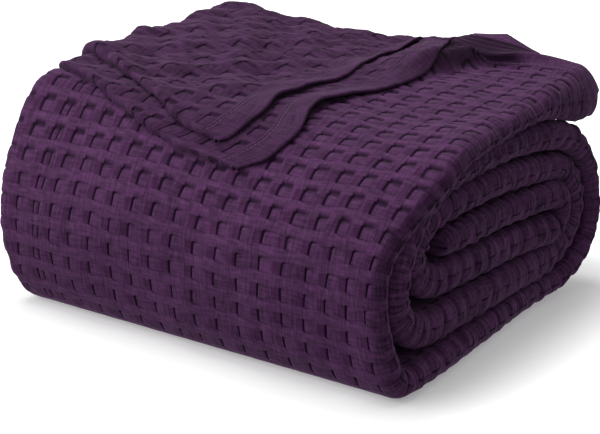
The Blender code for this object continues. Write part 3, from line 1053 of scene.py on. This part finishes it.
def cloth_mesh(name: str, places: Grid, outward: Grid, across: Grid, along: Grid,
               marks: dict[str, Grid], ring: float | None = None,
               weld: bool = False) -> bpy.types.Mesh:
    """Make the plain mesh of a piece of cloth from a grid of points.

    Args:
        name: the mesh's name.
        places: the points, rows along and columns across.
        outward: the direction that each point's outer face looks.
        across: each point's distance across the cloth.
        along: its distance along the cloth.
        marks: more numbers for each point.
        ring: the cloth's length right round, where the last column joins the first.
        weld: whether points that fall together are made one.

    Returns:
        The mesh, with a UV map in metres and each point's marks.
    """
    rows, columns = places.shape[:2]
    index = np.arange(rows * columns).reshape(rows, columns)
    step = np.arange(columns if ring is not None else columns - 1)
    beside = (step + 1) % columns
    a, b = index[:-1][:, step], index[:-1][:, beside]
    c, d = index[1:][:, beside], index[1:][:, step]
    faces = np.stack([a, b, c, d], axis=-1).reshape(-1, 4)
    mesh = bpy.data.meshes.new(name)
    mesh.from_pydata(places.reshape(-1, 3).tolist(), [], faces.tolist())
    flat_across, flat_along = across.ravel(), along.ravel()
    u = flat_across[faces]
    if ring is not None:
        u = np.where(np.abs(u - u[:, :1]) > 0.5 * ring, u + np.sign(u[:, :1] - u) * ring, u)
    layer = mesh.uv_layers.new(name="cloth")
    corners = np.stack([u, flat_along[faces]], axis=-1)
    layer.data.foreach_set("uv", corners.astype(np.float32).ravel())
    for key, value in {"across": across, "along": along, **marks}.items():
        write(mesh, key, value)
    write(mesh, "outward", outward, "FLOAT_VECTOR")
    if weld:
        work = bmesh.new()
        work.from_mesh(mesh)
        bmesh.ops.remove_doubles(work, verts=work.verts, dist=WELD)
        work.to_mesh(mesh)
        work.free()
    return mesh


# ------------------------------------------------------------------ the stitches
@dataclass
class Stitches:
    """Rows of small stitches that hold the hems down, set on the finished cloth."""

    finish: bpy.types.Material
    length: float = 2.4 * MM
    width: float = 0.62 * MM
    height: float = 0.42 * MM
    pitch: float = 3.3 * MM
    proud: float = 0.25          # the share of its height that a stitch's middle stands out
    uneven: float = 0.12
    seed: int = 11

    def __post_init__(self) -> None:
        """Make the node tree once, for every row."""
        self.recipe = self.build()

    def build(self) -> Recipe:
        """Build the node tree that sets a stitch on each point of a row.

        Returns:
            The tree.
        """
        recipe = Recipe("hem_stitches", {
            "Stitch Length": self.length, "Stitch Width": self.width,
            "Stitch Height": self.height, "Uneven": self.uneven})
        tree, take = recipe.tree, recipe.take
        ball = add(tree, "GeometryNodeMeshIcoSphere", {"Radius": 0.5, "Subdivisions": 2})
        chance = tree.nodes.new("FunctionNodeRandomValue")
        chance.data_type = "FLOAT"
        chance.inputs["Seed"].default_value = self.seed
        low, high = (socket for socket in chance.inputs
                     if socket.name in ("Min", "Max") and socket.type == "VALUE")
        feed(tree, 1.0 - take("Uneven"), low)
        feed(tree, 1.0 + take("Uneven"), high)
        share = Wire(tree, next(s for s in chance.outputs if s.type == "VALUE"))
        size = add(tree, "ShaderNodeCombineXYZ",
                   (take("Stitch Width"), take("Stitch Length") * share, take("Stitch Height")))
        up, on = (recipe.read(name, "FLOAT_VECTOR") for name in ("up", "on"))
        lie = add(tree, "FunctionNodeAxesToRotation", {"Primary Axis": up, "Secondary Axis": on},
                  primary_axis="Z", secondary_axis="Y")
        recipe.close(add(tree, "GeometryNodeInstanceOnPoints", {
            "Points": take("Shape"), "Instance": ball, "Rotation": lie, "Scale": size}))
        return recipe

    def row(self, name: str, cloth: bpy.types.Object, path: Grid) -> bpy.types.Object:
        """Sew one row on a finished piece of cloth.

        Args:
            name: the row's name.
            cloth: the piece that it is sewn on.
            path: points close to where it runs.

        Returns:
            The row, as a plain mesh that rides with the cloth.
        """
        steps = np.linalg.norm(np.diff(path, axis=0), axis=1)
        walked = np.concatenate([[0.0], np.cumsum(steps)])
        at = np.arange(0.5 * self.pitch, walked[-1], self.pitch)
        points = np.stack([np.interp(at, walked, path[:, n]) for n in range(3)], axis=-1)
        surface = BVHTree.FromPolygons([v.co for v in cloth.data.vertices],
                                       [p.vertices for p in cloth.data.polygons])
        found = [surface.find_nearest(Vector(point)) for point in points]
        places = np.array([place for place, *_ in found])
        up = np.array([normal for _, normal, *_ in found])
        places = places + up * self.proud * self.height
        mesh = bpy.data.meshes.new(name)
        mesh.from_pydata(places.tolist(), [], [])
        write(mesh, "up", up, "FLOAT_VECTOR")
        write(mesh, "on", np.gradient(places, axis=0), "FLOAT_VECTOR")
        item = self.recipe.run(name, mesh, self.finish)
        carry(item)
        LOG.info("%s: %d stitches", name, len(points))
        return item


def write(mesh: bpy.types.Mesh, name: str, values: Grid, kind: str = "FLOAT") -> None:
    """Write numbers or directions on a mesh's points.

    Args:
        mesh: the mesh.
        name: what they are called.
        values: the number or direction of each point.
        kind: FLOAT for numbers, or FLOAT_VECTOR for directions.
    """
    layer = mesh.attributes.new(name, kind, "POINT")
    layer.data.foreach_set("value" if kind == "FLOAT" else "vector",
                           values.astype(np.float32).ravel())


def carry(item: bpy.types.Object) -> None:
    """Say what a piece rides on and what it stands for.

    Args:
        item: the piece.
    """
    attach(item, "root")
    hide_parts("blanket")


def declare(item: bpy.types.Object,
            area: float | None = None) -> None:
    """Say what a piece of cloth is and what it rides on.

    Args:
        item: the piece.
        area: its flat area, where it isn't a rectangle; not used.
    """
    carry(item)
    LOG.info("%s: %d faces", item.name, len(item.data.polygons))


class Side(Enum):
    """Which part of the strip's cloth a piece is."""

    OUTER = "outer"
    LINING = "lining"
    RING = "ring"


@dataclass
class RollCloth:
    """The cloth of the wound strip, in a few pieces that meet edge to edge."""

    strip: Strip
    weave: Weave
    finish: bpy.types.Material
    stitches: Stitches
    sewn_in: float = 1.6 * MM    # how far inside the hem's ridge the stitches run
    near: float = 0.012          # how far the weave stays loose past a fold, between the turns
    left_tip: float = 0.1785
    under_floor: float = 0.072   # from the front to where the cloth lies on the floor
    under_back: float = 0.245    # and to where it leaves the floor
    covered: Triple = (0.3, 0.262, 0.1)  # where the second turn starts:
    # after so much cloth, closer to the front than this and higher than this
    puff: float = 1.4 * MM       # how far the inner turns swell towards each other by their folds
    puff_at: float = 0.013
    puff_reach: float = 0.0075
    puff_start: float = 0.03     # over how much cloth it starts after the loose end
    puff_end: Pair = (0.012, 0.040)  # and ends before the inner one
    bend_reach: Pair = (0.009, 0.021)  # from the fold's tip to the flat cloth
    weave_reach: float = 0.016   # the weave is whole up to this far from the tip, between turns
    lines_reach: float = 0.017   # and the fine mesh lines reach a little further
    floor_open: Pair = (0.0008, 0.006)  # heights over which the weave opens
    loose_open: Pair = (-0.002, 0.004)  # and the same after the loose end
    inner_open: Pair = (0.010, 0.018)  # and before the inner one
    tops_only: float = 0.20      # the painted shade beside the ridge lies within so much cloth
    calm_front: float = 0.80     # how much smoother the fold is where it goes down the front
    loose_piece: str = "loose_end"        # the piece that the hem's stitches are on
    sewn_from: float = -0.165    # where they start at the left
    seam_column: int = -13       # the column of cells that the double seam runs in
    seam_lines: tuple[float, ...] = (5.1, 6.1)
    coarse: tuple[int, ...] = (0, 1, 2, 3, 5, 6, 7, 9, 10, 12)     # the lines kept inside

    def build(self) -> list[bpy.types.Object]:
        """Make the pieces.

        Returns:
            The pieces, dressed and declared.
        """
        winding, cell, hem = self.strip.winding, self.weave.cell, self.weave.hem
        phase = winding.phase
        floor_at, back_at = winding.front + self.under_floor, winding.front + self.under_back
        first_turn = self.end_of_first_turn()
        tip = winding.along[: winding.loose_points]
        hem = hem + tip[-1]
        edge = np.concatenate([tip, hem_lines(tip[-1] + 0.0012, hem, 0.0013, 0.00045, 0.0022)])
        rows = cell.lines(hem + 0.002, floor_at, cell.along, cell.lines_along, phase)
        under = cell.lines(floor_at, back_at, cell.along, (-6.0, 0.0, 6.0), phase)
        back = cell.lines(back_at, first_turn, cell.along, cell.lines_along, phase)
        coarse = tuple(cell.lines_along[n] for n in self.coarse)
        lining = cell.lines(hem + 0.002, first_turn, cell.along, coarse, phase)
        tail = winding.along[-winding.inner_points:]
        inner = cell.lines(first_turn, tail[0] - 0.001, cell.along, coarse, phase)
        return [
            self.piece(self.loose_piece, edge, Side.OUTER),
            self.piece("top_and_front", np.concatenate([edge[-1:], rows[1:]]), Side.OUTER),
            self.piece("back", np.concatenate([under, back[1:]]), Side.OUTER),
            self.piece("first_turn_lining", np.concatenate([edge, lining[1:]]), Side.LINING),
            self.piece("inner_turns", np.concatenate([inner, tail]), Side.RING),
        ]

    def end_of_first_turn(self) -> float:
        """Give the distance along the cloth at which it goes under its own loose end."""
        line, (least, y, z) = self.strip.winding, self.covered
        under = (line.along > line.front + least) & (line.y < y) & (line.z > z)
        return float(line.along[np.argmax(under)])

    def columns(self, side: Side) -> Grid:
        """Give a piece's mesh lines across.

        Args:
            side: which part of the cloth it is.

        Returns:
            The lines, rising.
        """
        cell, tip = self.weave.cell, self.strip.tip_across
        phase = self.weave.phase_across

        def full(low: float, high: float) -> Grid:
            """Give every line of the cells between two places."""
            return cell.lines(low, high, cell.across, cell.lines_across, phase)

        if side is Side.OUTER:
            seam_at = phase + cell.across * self.seam_column + MM * np.array(self.seam_lines)
            return np.sort(np.concatenate([full(-self.left_tip, tip), seam_at]))
        ring = 2.0 * (self.left_tip + tip)
        reach = self.lines_reach + self.near
        if side is Side.LINING:
            right = full(tip, tip + reach)
            left = full(tip + (self.left_tip + tip) - reach, tip + self.left_tip + tip)
            web = np.linspace(right[-1], left[0], 12)[1:-1]
            return np.concatenate([right, web, left])
        right = full(tip - reach, tip + reach)
        left = full(tip + 0.5 * ring - reach, tip + 0.5 * ring + reach)
        inner = np.linspace(right[-1], left[0], 9)[1:-1]
        outer = np.linspace(left[-1], right[0] + ring, 9)[1:-1]
        return np.concatenate([right, inner, left, outer])

    def piece(self, name: str, rows: Grid, side: Side) -> bpy.types.Object:
        """Make one piece.

        Args:
            name: its name.
            rows: its mesh lines along.
            side: which part of the cloth it is.

        Returns:
            The piece, dressed and declared.
        """
        strip, tip, winding = self.strip, self.strip.tip_across, self.strip.winding
        line = self.columns(side)
        ring = 2.0 * (self.left_tip + tip)
        across = np.broadcast_to(line[None, :], (len(rows), len(line)))
        along = np.broadcast_to(rows[:, None], across.shape)
        wrapped = np.where(across > tip + 0.5 * ring, across - ring, across)
        turns = [np.abs(across - tip + half * ring) for half in (0.0, -0.5, 0.5)]
        from_fold = np.min(turns, axis=0)
        puff, start = self.puff * bell(from_fold, self.puff_at, self.puff_reach), tip_end(winding)
        puff = 0.0 if side is Side.OUTER else puff
        puff = puff * ease(along, start, start + self.puff_start)
        puff = puff * ease(winding.length - along, *self.puff_end)
        places, outward = strip.place(along, wrapped, puff)
        bend = 1.0 - ease(from_fold, *self.bend_reach)
        walk = winding.at(along)["walk"]
        crease = bend * (1.0 - self.calm_front * bell(walk, strip.front_walk, strip.front_reach))
        open_air = np.ones(across.shape)
        if side is not Side.OUTER:
            open_air = 1.0 - ease(from_fold, self.weave_reach, self.weave_reach + self.near)
        open_air = open_air * ease(places[..., 2], *self.floor_open)
        open_air = open_air * ease(along, *(start + past for past in self.loose_open))
        open_air = open_air * ease(winding.length - along, *self.inner_open)
        loose = ease(along - start, *(self.weave.hem + past for past in HEM_FADE))
        column = np.floor((across - self.weave.phase_across) / self.weave.cell.across)
        # painted shade: the colour turns dark beside the ridge and under the curl
        deep = np.zeros(across.shape)
        if side is Side.OUTER:
            deep = strip.pile.painted_hollow_shade(places, outward, along) * (along < self.tops_only)
        marks = {"loose": loose, "open": open_air, "bend": bend, "crease": crease, "deep": deep,
                 "seam": 1.0 * (column == self.seam_column), "hem": along - start}
        mesh = cloth_mesh(name, places, outward, across - self.weave.phase_across,
                          along - winding.phase, marks, ring if side is Side.RING else None)
        item = self.weave.press(name, mesh, self.finish)
        if name == self.loose_piece:
            row = np.linspace(self.sewn_from, tip - 0.004, 240)
            path, _ = strip.place(np.full(row.shape, self.weave.hem + start - self.sewn_in), row)
            self.stitches.row("loose_end_stitches", item, path)
        declare(item)
        return item


def hem_lines(start: float, hem: float, wide: float, close: float, past: float) -> Grid:
    """Give mesh lines over a plain hem, close together where it is sewn.

    Args:
        start: the first line.
        hem: where the hem ends.
        wide: the distance between the lines.
        close: that distance where it is sewn.
        past: how far past the hem they go on.

    Returns:
        The lines.
    """
    return np.concatenate([np.arange(start, hem - 0.005, wide),
                           np.arange(hem - 0.0046, hem + past, close)])


def tip_end(winding: Winding) -> float:
    """Give how far in along the cloth the rounding of the loose end reaches."""
    return float(winding.along[winding.loose_points - 1])


# ------------------------------------------------------------------ the turned-over plies
class Edge(NamedTuple):
    """A turned-over ply at one distance along the strip from its loose end.

    fold and hem are places across, roll is how high the fold stands over the rest of the ply,
    and stand is how far its hem stands up.
    """

    along: float
    fold: float
    hem: float
    roll: float
    stand: float


UNDER_PLY = tuple(Edge(*row) for row in (
    (0.0060, -0.172, 0.0563, 0.0, 0.0005), (0.0300, -0.172, 0.0605, 0.0, 0.0010),
    (0.0570, -0.172, 0.0655, 0.0, 0.0010), (0.0850, -0.172, 0.0726, 0.0, 0.0008),
    (0.1000, -0.172, 0.0728, 0.0, 0.0006), (0.1180, -0.172, 0.0720, 0.0, 0.0005),
    (0.1380, -0.172, 0.0690, 0.0, 0.0005), (0.1480, -0.172, 0.0640, 0.0, 0.0006),
    (0.1660, -0.172, 0.0560, 0.0, 0.0020), (0.1800, -0.172, 0.0505, 0.0, 0.0034),
    (0.1950, -0.172, 0.0472, 0.0015, 0.0042), (0.2080, -0.174, 0.0475, 0.0030, 0.0040),
    (0.2230, -0.168, 0.0520, 0.0032, 0.0034), (0.2350, -0.147, 0.0542, 0.0030, 0.0012),
    (0.2420, -0.123, 0.0545, 0.0022, 0.0008), (0.2505, -0.098, 0.0530, 0.0022, 0.0004),
    (0.2585, -0.075, 0.0497, 0.0020, 0.0002), (0.2655, -0.052, 0.0450, 0.0016, 0.0),
    (0.2700, -0.035, 0.0396, 0.0012, 0.0), (0.2728, -0.018, 0.0361, 0.0008, 0.0),
    (0.2741, 0.002, 0.0342, 0.0006, 0.0), (0.2750, 0.018, 0.0330, 0.0004, 0.0),
    (0.2755, 0.027, 0.0312, 0.0003, 0.0),
))
UPPER_PLY = tuple(Edge(*row) for row in (
    (0.0060, -0.166, 0.0385, 0.0, 0.0005), (0.0300, -0.166, 0.0360, 0.0, 0.0010),
    (0.0560, -0.166, 0.0345, 0.0, 0.0012), (0.0740, -0.166, 0.0330, 0.0, 0.0012),
    (0.0920, -0.166, 0.0290, 0.0, 0.0010), (0.1100, -0.166, 0.0268, 0.0, 0.0006),
    (0.1360, -0.166, 0.0290, 0.0003, 0.0004), (0.1550, -0.166, 0.0255, 0.0008, 0.0007),
    (0.1720, -0.171, 0.0195, 0.0015, 0.0016), (0.1860, -0.172, 0.0176, 0.0058, 0.0022),
    (0.1970, -0.160, 0.0165, 0.0040, 0.0026), (0.2080, -0.133, 0.0170, 0.0035, 0.0028),
    (0.2200, -0.107, 0.0192, 0.0032, 0.0025), (0.2300, -0.085, 0.0203, 0.0030, 0.0014),
    (0.2400, -0.065, 0.0198, 0.0025, 0.0007), (0.2490, -0.047, 0.0175, 0.0018, 0.0004),
    (0.2555, -0.032, 0.0142, 0.0013, 0.0), (0.2590, -0.018, 0.0112, 0.0009, 0.0),
    (0.2605, -0.003, 0.0090, 0.0006, 0.0), (0.2612, 0.005, 0.0072, 0.0003, 0.0),
))


@dataclass
class TurnedPly:
    """One ply whose corner is turned over: a hem on the right, a soft rolled fold on the left."""

    name: str
    strip: Strip
    weave: Weave
    finish: bpy.types.Material
    stitches: Stitches
    edges: tuple[Edge, ...]
    below: "TurnedPly | None" = None
    ply: float = 2.5 * MM
    gap: float = 0.5 * MM
    tucked: float = 0.016        # how far the hem's under side is made
    roll_reach: float = 0.034
    stand_reach: float = 0.036
    phase: float = 0.006         # where its rows of cells start
    longest: float = 0.0022      # between two mesh lines along the fold
    hem: float = 0.0175          # the plain band along its edges
    first_pad: float = 0.0115    # from that band to the slit of the first pads beside it
    rows_behind: int = 20        # its rows of cells are counted as on the strip's top
    loft: float = 1.6 * MM       # how much fuller it lies away from its hem
    billow: tuple[Wave, ...] = (Wave(0.45, 0.083, 0.061, 0.7), Wave(0.35, -0.052, 0.090, 2.9),
                                Wave(0.30, 0.037, 0.034, 4.4))
    crumple: float = 0.5         # how uneven its hidden half is, and from where along the strip
    crumple_along: Pair = (0.190, 0.120)
    lip: float = -0.004          # how far out past its edges its height falls to nothing
    loft_in: Pair = (0.012, 0.050)  # from the hem to where it is fullest
    loft_along: Pair = (0.270, 0.200)
    end_tucked: float = 0.010    # how far the under side at the back is made
    backward: tuple[float, ...] = (1.0, 0.75, 0.5, 0.28, 0.12)  # shares of an under side
    lip_lines: int = 7
    slope_step: float = 0.0004
    thinnest: float = 0.002      # the least radius of the fold
    wrap: float = 0.93           # the share of a half-turn that the fold makes
    spare: float = 0.045         # cloth past the widest place, for the fold
    bent: Pair = (0.2, 0.9)      # the fold's turn where its cells flatten
    hidden: Pair = (1.7, 2.6)    # and where it goes out of sight
    sewn_in: float = 1.6 * MM    # how far inside the hem's ridge the stitches run

    def __post_init__(self) -> None:
        """Keep the table's columns."""
        self.knots = np.array([edge.along for edge in self.edges])
        self.table = {name: np.array([getattr(edge, name) for edge in self.edges])
                      for name in ("fold", "hem", "roll", "stand")}

    def read(self, name: str, along: Grid) -> Grid:
        """Read a column of the table at distances along the cloth."""
        return curve_through(along, self.knots, self.table[name])

    def lift(self, across: Grid, along: Grid) -> Grid:
        """Give how high the ply's top lies over the strip.

        Args:
            across: places across the strip.
            along: distances along it.

        Returns:
            The heights.
        """
        from_fold = across - self.read("fold", along)
        from_hem = self.read("hem", along) - across
        height = self.gap + self.ply
        height = height + self.read("roll", along) * (1.0 - ease(from_fold, 0.0, self.roll_reach))
        height = height + self.read("stand", along) * (1.0 - ease(from_hem, 0.0, self.stand_reach))
        height = height + self.loft * (1.0 + waves(across, along, self.billow)) * (
            ease(from_hem, *self.loft_in) * ease(from_fold, self.lip, 0.0)
            * ease(along, *self.loft_along))
        if self.below is None:
            return height * ease(from_fold, self.lip, 0.0) * ease(from_hem, self.lip, 0.0)
        return height + self.below.lift(across, along)

    def border(self, size: float) -> tuple[Grid, Grid, Grid]:
        """Give the lines of an edge with a round lip and a strip of the under side.

        Args:
            size: how far the under side reaches.

        Returns:
            For each line how far in it lies, how far out past the edge, and the share of the
            ply's thickness that it lies lower than the top.
        """
        back = np.array([*(share * size for share in self.backward), 0.0008])
        turn = np.linspace(-0.5 * np.pi, 0.5 * np.pi, self.lip_lines)
        return (np.concatenate([back, np.zeros(len(turn))]),
                np.concatenate([np.zeros(len(back)), 0.5 * self.ply * np.cos(turn)]),
                np.concatenate([np.ones(len(back)), 0.5 - 0.5 * np.sin(turn)]))

    def steep_rows(self, rows: Grid) -> Grid:
        """Add mesh lines where the fold or the hem runs nearly straight across.

        Args:
            rows: the mesh lines along the cloth.

        Returns:
            The lines with the new ones between them.
        """
        fine = [rows]
        for low, high in zip(rows, rows[1:]):
            ends = np.array([low, high])
            change = max(abs(np.diff(self.read(name, ends))[0]) for name in ("fold", "hem"))
            count = int(change / self.longest)
            fine.append(low + (high - low) * np.arange(1, count + 1) / (count + 1))
        return np.unique(np.concatenate(fine))

    def build(self) -> bpy.types.Object:
        """Make the ply.

        Returns:
            The ply, dressed and declared.
        """
        cell, hem = self.weave.cell, self.hem
        front, back = float(self.knots[-1]), float(self.knots[0])
        border_in, border_out, border_low = self.border(self.tucked)
        widest = float(np.max(self.table["hem"] - self.table["fold"])) + self.spare
        seam = hem_lines(0.001, hem, 0.0016, 0.0005, 0.002)
        lines = cell.lines(-widest, -hem - 0.002, cell.across, cell.lines_across,
                           -hem - self.first_pad)
        inward = np.concatenate([border_in, seam, -lines[::-1]])
        out = np.concatenate([border_out, np.zeros(len(inward) - len(border_in))])
        low = np.concatenate([border_low, np.zeros(len(inward) - len(border_in))])
        end_in, end_out, end_low = self.border(self.end_tucked)
        rows = cell.lines(back + 0.001, front, cell.along, cell.lines_along, self.phase)
        rows = self.steep_rows(rows)
        nose = np.linspace(0.5 * np.pi, -0.5 * np.pi, self.lip_lines)[1:]
        nose_out, nose_low = -0.5 * self.ply * np.cos(nose), 0.5 - 0.5 * np.sin(nose)
        along = np.concatenate([back + end_in, rows, np.full(len(nose), front)])[:, None]
        end_out = np.concatenate([end_out, np.zeros(len(rows)), nose_out])[:, None]
        low_rows = np.concatenate([end_low, np.zeros(len(rows)), nose_low])[:, None]
        inward, out, low = inward[None, :], out[None, :], np.maximum(low[None, :], low_rows)

        def slopes(name: str) -> tuple[Grid, Grid]:
            """Give the outward direction of an edge, across and along."""
            step = self.slope_step
            slope = (self.read(name, along + step) - self.read(name, along - step)) / (2.0 * step)
            size = np.sqrt(1.0 + slope ** 2)
            return 1.0 / size, -slope / size

        fold_line, hem_line = self.read("fold", along), self.read("hem", along)
        fold_x, fold_a = slopes("fold")
        hem_x, hem_a = slopes("hem")
        full_width = hem_line - fold_line
        top_lift = self.lift(fold_line + 0.0001, along)
        under_lift = self.below.lift(fold_line, along) if self.below else 0.0 * top_lift
        radius = 0.5 * np.maximum(top_lift - under_lift, self.thinnest)
        round_it = np.clip(inward - full_width, 0.0, self.wrap * np.pi * radius)
        turn = round_it / radius
        flat_in = np.minimum(inward, full_width)
        across = hem_line - flat_in + hem_x * out - fold_x * radius * np.sin(turn)
        place_along = along + hem_a * out - fold_a * radius * np.sin(turn) - end_out
        lift = self.lift(hem_line - flat_in, along) - radius * (1.0 - np.cos(turn)) - self.ply * low
        place_along, across, lift = np.broadcast_arrays(place_along, across, lift)
        places, up = self.strip.place(np.maximum(place_along, 0.0), across, lift)

        down_rows, right_columns = np.gradient(places, axis=0), np.gradient(places, axis=1)
        outward = np.cross(down_rows, right_columns)
        size = np.linalg.norm(outward, axis=-1, keepdims=True)
        outward = np.where(size > 1e-12, outward / np.maximum(size, 1e-12), up)
        towards = np.sign(np.sum(outward * up, axis=-1)[len(end_in) + 20, len(border_in) + 10])
        outward = outward * towards
        cloth_in = np.minimum(inward, full_width) + round_it
        from_end = along - back + 0.0 * inward
        fade = [hem + past for past in HEM_FADE]
        plain = ease(cloth_in, *fade) * ease(from_end, *fade)
        bent, none = 0.5 * ease(turn, *self.bent), np.zeros(plain.shape)
        crumpled = self.crumple * ease(-along, *(-a for a in self.crumple_along))
        marks = {
            "loose": plain * (1.0 - low), "open": (1.0 - low) * (1.0 - ease(turn, *self.hidden)),
            "bend": bent + none, "crease": np.maximum(bent, crumpled), "seam": none, "deep": none,
            "hem": np.where(low > 0.0, 1.0, np.minimum(cloth_in, from_end)),
        }
        cloth_across = hem + self.first_pad - cloth_in - out
        cloth_along = from_end - self.phase - self.rows_behind * cell.along
        mesh = cloth_mesh(self.name, places, outward, cloth_across + 0.0 * along, cloth_along,
                          marks, weld=True)
        if towards > 0.0:
            mesh.flip_normals()
        item = self.weave.press(self.name, mesh, self.finish, hem)
        width = float(np.max(cloth_in)) + self.tucked
        length = float(front - back) + self.end_tucked
        share = float(np.mean(np.max(cloth_in, axis=1) + self.tucked))
        row = np.linspace(back + 0.004, front - 0.001, 300)
        inside = self.read("hem", row) - hem + self.sewn_in
        path, _ = self.strip.place(row, inside, self.lift(inside, row))
        path = path[inside > self.read("fold", row)]
        sewn = self.stitches.row(self.name + "_stitches", item, path)
        declare(item, area=share * length)
        return item


# ------------------------------------------------------------------ light, floor and camera
@dataclass(frozen=True)
class Lamp:
    """One soft studio light."""

    name: str
    place: Triple
    target: Triple
    size: float
    power: float

    def build(self) -> None:
        """Hang the light."""
        data = bpy.data.lights.new(self.name, "AREA")
        data.shape, data.size, data.energy = "DISK", self.size, self.power
        item = bpy.data.objects.new(self.name, data)
        item.location = self.place
        aim = Vector(self.target) - Vector(self.place)
        item.rotation_euler = aim.to_track_quat("-Z", "Y").to_euler()
        bpy.context.scene.collection.objects.link(item)


@dataclass
class Studio:
    """A pale floor, soft light and the camera."""

    lamps: tuple[Lamp, ...] = (
        Lamp("overhead", (-0.45, -0.05, 1.9), (0.0, 0.0, 0.1), 1.6, 26.0),
        Lamp("front_left", (-1.2, -1.4, 0.8), (0.0, 0.0, 0.08), 2.1, 32.0),
    )
    sky: float = 0.42            # the even light from all round, the floor's included
    reach: float = 6.0           # from the floor's middle to its sides
    paper: float = 0.80
    under: Pair = (0.165, 0.140)  # half the floor that the roll covers
    lit: Pair = (-0.030, 0.0)    # the middle of the least lit paper
    fill: float = 0.27           # how much the paper shines close to the roll
    fill_reach: float = 0.035
    glow: float = 0.85           # and how much far away, like a lit backdrop
    glow_to: float = 0.15
    place: Triple = (0.5714, -0.8073, 0.3652)
    turn: Triple = (72.8, 0.0, 35.65)
    lens: float = 82.16
    sensor: float = 36.0

    def floor_finish(self) -> bpy.types.Material:
        """Build the pale paper, which shines a little further from the roll.

        Returns:
            The material.
        """
        surface = Surface("pale_paper")
        parts = add(surface.tree, "ShaderNodeTexCoord", output="Object").split()
        beside, before = (((part - lit).put("ABSOLUTE") - under).put("MAXIMUM", 0.0)
                          for part, lit, under in zip(parts, self.lit, self.under))
        away = (beside * beside + before * before).put("SQRT")
        shine = away.bell(self.fill_reach) * self.fill + away.ease(0.0, self.glow_to) * self.glow
        return surface.finish({
            "Base Color": (self.paper, self.paper, self.paper, 1.0), "Roughness": 0.9,
            "Emission Color": (1.0, 1.0, 1.0, 1.0), "Emission Strength": shine,
        })

    def build(self) -> None:
        """Set the floor, the light and the camera."""
        mesh, far = bpy.data.meshes.new("floor"), self.reach
        corners = [(-far, -far, 0.0), (far, -far, 0.0), (far, far, 0.0), (-far, far, 0.0)]
        mesh.from_pydata(corners, [], [(0, 1, 2, 3)])
        mesh.materials.append(self.floor_finish())
        floor = bpy.data.objects.new("floor", mesh)
        bpy.context.scene.collection.objects.link(floor)
        floor.visible_diffuse = floor.visible_glossy = False
        for lamp in self.lamps:
            lamp.build()
        world = bpy.data.worlds.new("soft_sky")
        world.use_nodes = True
        sky = world.node_tree.nodes["Background"]
        sky.inputs["Color"].default_value = (1.0, 1.0, 1.0, 1.0)
        sky.inputs["Strength"].default_value = self.sky
        bpy.context.scene.world = world
        bpy.context.scene.view_settings.view_transform = "Standard"

        data = bpy.data.cameras.new("camera")
        data.lens, data.sensor_width = self.lens, self.sensor
        data.clip_start, data.clip_end = 0.02, 50.0
        camera = bpy.data.objects.new("camera", data)
        camera.location = self.place
        camera.rotation_euler = [math.radians(angle) for angle in self.turn]
        bpy.context.scene.collection.objects.link(camera)
        bpy.context.scene.camera = camera


def main() -> None:
    """Build the studio and every piece of the blanket."""
    logging.basicConfig(level=logging.INFO, format="%(name)s: %(message)s")
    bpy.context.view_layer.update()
    Studio().build()
    finish = Cotton().material()
    weave = Weave()
    strip = Strip(Winding())
    stitches = Stitches(Thread().material())
    RollCloth(strip, weave, finish, stitches).build()
    # painted shade: a darker copy of the cotton stands in for the shade on the turned-over plies
    painted_shade_cotton = Cotton("purple_cotton_painted_shade", raised=(0.0430, 0.0138, 0.0460),
                     sunk=(0.031, 0.0073, 0.033)).material()
    under = TurnedPly("under_ply", strip, weave, painted_shade_cotton, stitches, UNDER_PLY)
    upper = TurnedPly("upper_ply", strip, weave, painted_shade_cotton, stitches, UPPER_PLY, under, phase=0.011)
    under.build()
    upper.build()


if __name__ == "__main__":
    main()
